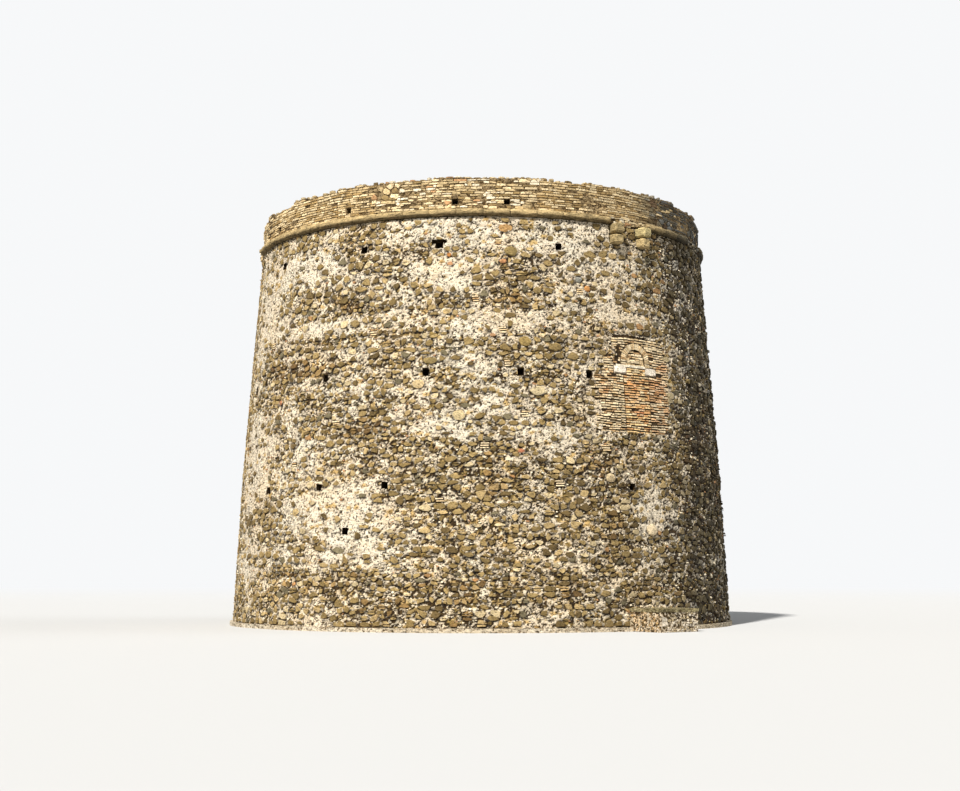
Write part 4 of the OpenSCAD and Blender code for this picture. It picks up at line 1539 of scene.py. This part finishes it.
def coping_stones():
    """Ragged top of the parapet: five rings of stones lying in mortar."""
    heap = Heap()
    corners = 6
    for ring in range(5):
        ring_mid = PARAPET_IN + 0.02 + ring * 0.2 + 0.1
        u = draw.uniform(0, 0.2)
        while u < AROUND:
            width = draw.uniform(0.12, 0.34)
            mid = u + width / 2
            u += width
            if draw.random() >= 0.86:
                continue
            deep = draw.uniform(0.09, 0.19)
            r = max(PARAPET_IN + deep / 2 + 0.005, ring_mid + draw.uniform(-0.04, 0.04))
            r = min(PARAPET_R - deep / 2 - 0.005, r)
            outline = []
            for corner in range(corners):
                turn = math.pi * 2 * (corner + draw.uniform(-0.2, 0.2)) / corners
                outline.append((mid + width * 0.47 * math.cos(turn), r + deep * 0.5 * math.sin(turn)))
            room = TOP_Z - parapet_top(mid)
            height = min(room * 0.9 + 0.004, draw.uniform(0.012, 0.09))
            tone = shaded_soiled_tone(pick(PARAPET_TONES, (0.60, 0.92)), mid, TOP_Z)
            # The skirt keeps 0.4 of the tone as painted shade
            heap.lump(outline, coping_point, height, tone, inset=0.12, skirt=0.03, foot_shade=0.4)
    heap.piece("parapet_top_stones", stone_look, "parapet_masonry")


coping_stones()

# Terrace paving
FLAG_DEPTH = 0.42
FLAG_WIDTH = 0.55
FLAG_JOINT = 0.012


def paving_point(u, r, h):
    return polar(u / REF_R, r, PAVING_Z + h)


def terrace_flags():
    """Worn flags in rings."""
    heap = Heap()
    r = 0.04
    while r < PARAPET_IN - 0.1:
        deep = min(FLAG_DEPTH, PARAPET_IN - 0.03 - r)
        r_mid = r + deep / 2
        stones = max(6, round(2 * math.pi * r_mid / FLAG_WIDTH))
        shift = draw.uniform(0, 1)
        gap = FLAG_JOINT * REF_R / r_mid
        inner, outer = r + FLAG_JOINT, r + deep - FLAG_JOINT
        for i in range(stones):
            u0 = AROUND * (i + shift) / stones
            u1 = AROUND * (i + 1 + shift) / stones
            outline = box(u0 + gap, u1 - gap, inner, outer)
            outline.insert(3, ((u0 + u1) / 2, outer + 0.002))
            proud = draw.uniform(0.008, 0.02)
            heap.lump(outline, paving_point, proud, pick(CUT_STONES), inset=0.05, bulge=0.0, tilt=0.1)
        r += deep
    heap.piece("terrace_flags", stone_look, "floor_paving")


terrace_flags()

# Corbels and drain spout: squared stones with broken edges, whose sides are cut about this long
CUT = 0.06
# Seed of the noise that wears them, which would follow the clock otherwise
WEAR_SEED = 1795671383
noise.seed_set(WEAR_SEED)


def block(heap, phi_deg, spans, tone, worn, most_cuts):
    """A squared stone between spans across, outwards and up, whose faces and edges are rough."""
    phi = math.radians(phi_deg)
    out = Vector((math.sin(phi), -math.cos(phi), 0))
    right = Vector((math.cos(phi), math.sin(phi), 0))
    centre = Vector([(low + high) / 2 for low, high in spans])
    half = Vector([(high - low) / 2 for low, high in spans])
    seed = Vector((draw.uniform(0, 50),) * 3)
    steps = [min(most_cuts, max(2, round(2 * side / CUT))) for side in half]
    index = {}
    points = []
    faces = []

    def vertex(*cut):
        """Index of the point at a cut along each side, moved inwards by its wear."""
        if cut not in index:
            at = Vector([2 * i / count - 1 for i, count in zip(cut, steps)])
            rims = [abs(abs(c) - 1) < 1e-6 for c in at]
            inward = Vector([-math.copysign(1, c) if rim else 0 for c, rim in zip(at, rims)])
            local = Vector([c * side for c, side in zip(at, half)])
            rough = abs(noise.noise_vector(local * 7 + seed).x)
            local += inward * worn * (0.25 + rough + (sum(rims) - 1) * 0.55)
            local += centre
            point = out * local.y + right * local.x
            index[cut] = len(points)
            points.append((point.x, point.y, local.z))
        return index[cut]

    for axis in range(3):
        a, b = [n for n in range(3) if n != axis]
        for end in (0, steps[axis]):
            for p in range(steps[a]):
                for q in range(steps[b]):
                    quad = []
                    for dp, dq in ((0, 0), (1, 0), (1, 1), (0, 1)):
                        cut = [0, 0, 0]
                        cut[axis] = end
                        cut[a] = p + dp
                        cut[b] = q + dq
                        quad.append(vertex(*cut))
                    faces.append(tuple(quad))
    heap.add(points, faces, tone)


for name, low, high, reach in (
    ("corbels_lower", CORBEL_Z[0], CORBEL_Z[1], CORBEL_REACH[0]),
    ("corbels_upper", CORBEL_Z[1], CORBEL_Z[2], CORBEL_REACH[1]),
):
    heap = Heap()
    spans = (
        (-CORBEL_HALF, CORBEL_HALF), (CORDON_TAIL + 0.02, wall_r(low) + reach), (low + 0.004, high - 0.004),
    )
    for phi in CORBEL_PHIS:
        block(heap, phi, spans, pick(CORBEL_TONES), 0.042, 8)
    piece = heap.piece(name + "_worn", cordon_look, "corbel_stone")
    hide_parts(name)

spout = Heap()
spans = (
    (-SPOUT_HALF, SPOUT_HALF), (PARAPET_R - SPOUT_TAIL, SPOUT_NOSE), (CORDON_TOP + 0.002, PAVING_Z - 0.002),
)
block(spout, SPOUT_PHI, spans, pick(CORBEL_TONES), 0.012, 6)
piece = spout.piece("drain_spout_worn", cordon_look, "spout_stone")
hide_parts("drain_spout")

# Masonry block at the foot: rubble on its three faces
BLOCK_STONE_H = 0.062
BLOCK_STRETCH = 1.5
# The length that a face's cells are repeated at, so far off that its two ends stay free
NO_REPEAT = 1000.0


def block_point(x, r, z):
    """Point r metres out along the block's axis and x metres to its right."""
    phi = math.radians(BLOCK_PHI)
    return (r * math.sin(phi) + x * math.cos(phi), -r * math.cos(phi) + x * math.sin(phi), z)


def block_front(x, z, h):
    return block_point(x, BLOCK_FACE + min(h, 0.015), z)


def block_left(r, z, h):
    return block_point(-BLOCK_HALF - min(h, 0.015), r, z)


def block_right(r, z, h):
    return block_point(BLOCK_HALF + min(h, 0.015), r, z)


def block_stones(heap, place, first, last, tint):
    """Small rubble on one face, from first to last."""
    span = last - first
    points = rows(0.01, BLOCK_H, lambda z: BLOCK_STONE_H, span, BLOCK_STRETCH)
    for outline, _, z, _ in cells(points, 0.01, BLOCK_H - 0.005, NO_REPEAT):
        outline = clipped(outline, 0.005, z, -1, 0)
        if len(outline) > 2:
            outline = clipped(outline, span - 0.005, z, 1, 0)
        if len(outline) < 3 or draw.random() < 0.32:
            continue
        outline = shrunk([(u + first, high) for u, high in outline], 0.010, 0.4)
        if len(outline) >= 3:
            tone = tuple(c * part for c, part in zip(pick(BLOCK_TONES), tint))
            heap.lump(outline, place, draw.uniform(0.006, 0.014), tone, inset=0.12)


block_heap = Heap()
block_stones(block_heap, block_front, -BLOCK_HALF, BLOCK_HALF, (0.92, 0.96, 1.02))
block_stones(block_heap, block_left, BASE_R - 0.05, BLOCK_FACE, (0.84, 0.72, 0.56))
block_stones(block_heap, block_right, BASE_R - 0.05, BLOCK_FACE, (0.84, 0.84, 0.84))
block_heap.piece("foot_block_stones", stone_look, "block_rubble")

# Floor and world
BACKGROUND = (0.93, 0.94, 0.95, 1.0)
SKY = (0.90, 0.95, 1.0, 1.0)
SKY_STRENGTH = 0.20
FLOOR_HALF = 400.0
# Distances from the tower between which the floor turns into the background
FLOOR_FADE = (22.0, 150.0)
# The floor's colour for light that bounces off it, and as it is seen
FLOOR_LIT = (0.36, 0.35, 0.33)
FLOOR_SEEN = (0.61, 0.61, 0.605)


def seen_directly(tree):
    """1 where a camera, glossy or transmission ray sees a surface, and else 0."""
    paths = node(tree, "ShaderNodeLightPath")
    seen = paths.outputs["Is Camera Ray"]
    for ray in ("Is Glossy Ray", "Is Transmission Ray"):
        seen = node(tree, "ShaderNodeMath", {0: seen, 1: paths.outputs[ray]}, operation="MAXIMUM").outputs[0]
    return seen


def floor_look():
    """Plain pale floor that keeps the tower's shadow and turns into the background far off."""
    material, tree, shader, place = new_material("floor")
    seen = seen_directly(tree)
    tree.links.new(mixed(tree, "MIX", seen, FLOOR_LIT, FLOOR_SEEN), shader.inputs["Base Color"])
    off = node(tree, "ShaderNodeVectorMath", {0: place}, operation="LENGTH").outputs["Value"]
    fade = node(
        tree, "ShaderNodeMapRange", {"From Min": FLOOR_FADE[0], "From Max": FLOOR_FADE[1], "Value": off},
        interpolation_type="SMOOTHSTEP")
    faded = node(tree, "ShaderNodeMath", {0: fade.outputs["Result"], 1: seen}, operation="MULTIPLY")
    glow = node(tree, "ShaderNodeEmission", {"Color": BACKGROUND})
    both = node(tree, "ShaderNodeMixShader", {0: faded.outputs[0], 1: shader.outputs[0], 2: glow.outputs[0]})
    tree.links.new(both.outputs[0], tree.nodes["Material Output"].inputs["Surface"])
    return material


def sky():
    """Soft light from all sides, and the background where the world is seen."""
    world = bpy.data.worlds.new("studio")
    bpy.context.scene.world = world
    world.use_nodes = True
    tree = world.node_tree
    tree.nodes.clear()
    soft = node(tree, "ShaderNodeBackground", {"Color": SKY, "Strength": SKY_STRENGTH})
    plain = node(tree, "ShaderNodeBackground", {"Color": BACKGROUND, "Strength": 1.0})
    seen = seen_directly(tree)
    both = node(tree, "ShaderNodeMixShader", {0: seen, 1: soft.outputs[0], 2: plain.outputs[0]})
    node(tree, "ShaderNodeOutputWorld", {"Surface": both.outputs[0]})


def sun(name, energy, angle, colour, phi_deg, elevation):
    """A sun at an azimuth and an elevation; its three angles are in degrees."""
    light = bpy.data.lights.new(name, "SUN")
    light.energy = energy
    light.angle = math.radians(angle)
    light.color = colour
    rise = math.radians(elevation)
    towards = Vector(polar(math.radians(phi_deg), math.cos(rise), math.sin(rise)))
    add_object(name, light).rotation_euler = towards.to_track_quat("Z", "Y").to_euler()


floor_mesh = bpy.data.meshes.new("floor")
floor_corners = [(x, y, 0) for x, y in box(-FLOOR_HALF, FLOOR_HALF, -FLOOR_HALF, FLOOR_HALF)]
floor_mesh.from_pydata(floor_corners, [], [(0, 1, 2, 3)])
floor_mesh.materials.append(floor_look())
floor = add_object("floor", floor_mesh)
sky()
sun("key", 5.3, 3, (1.0, 0.97, 0.92), -25.0, 46.0)
sun("fill", 0.82, 40, (0.95, 0.98, 1.0), 95, 24)

# Camera, level and as far off as the photo was taken from; shifts and focal length are in its pixels
CAMERA_BACK = 52.7
CAMERA_Z = 1.75
FOCAL_PX = 1519
WIDTH_PX = 960
SHIFT_PX = (-1, 177.5)
SENSOR = 36.0
camera = bpy.data.cameras.new("camera")
camera.sensor_width = SENSOR
camera.lens = FOCAL_PX / WIDTH_PX * SENSOR
camera.shift_x = SHIFT_PX[0] / WIDTH_PX
camera.shift_y = SHIFT_PX[1] / WIDTH_PX
camera.clip_end = 1000
camera_object = add_object("camera", camera)
camera_object.location = (0, -CAMERA_BACK, CAMERA_Z)
camera_object.rotation_euler = (math.pi / 2, 0, 0)
bpy.context.scene.camera = camera_object

view = bpy.context.scene.view_settings
view.view_transform = "Standard"
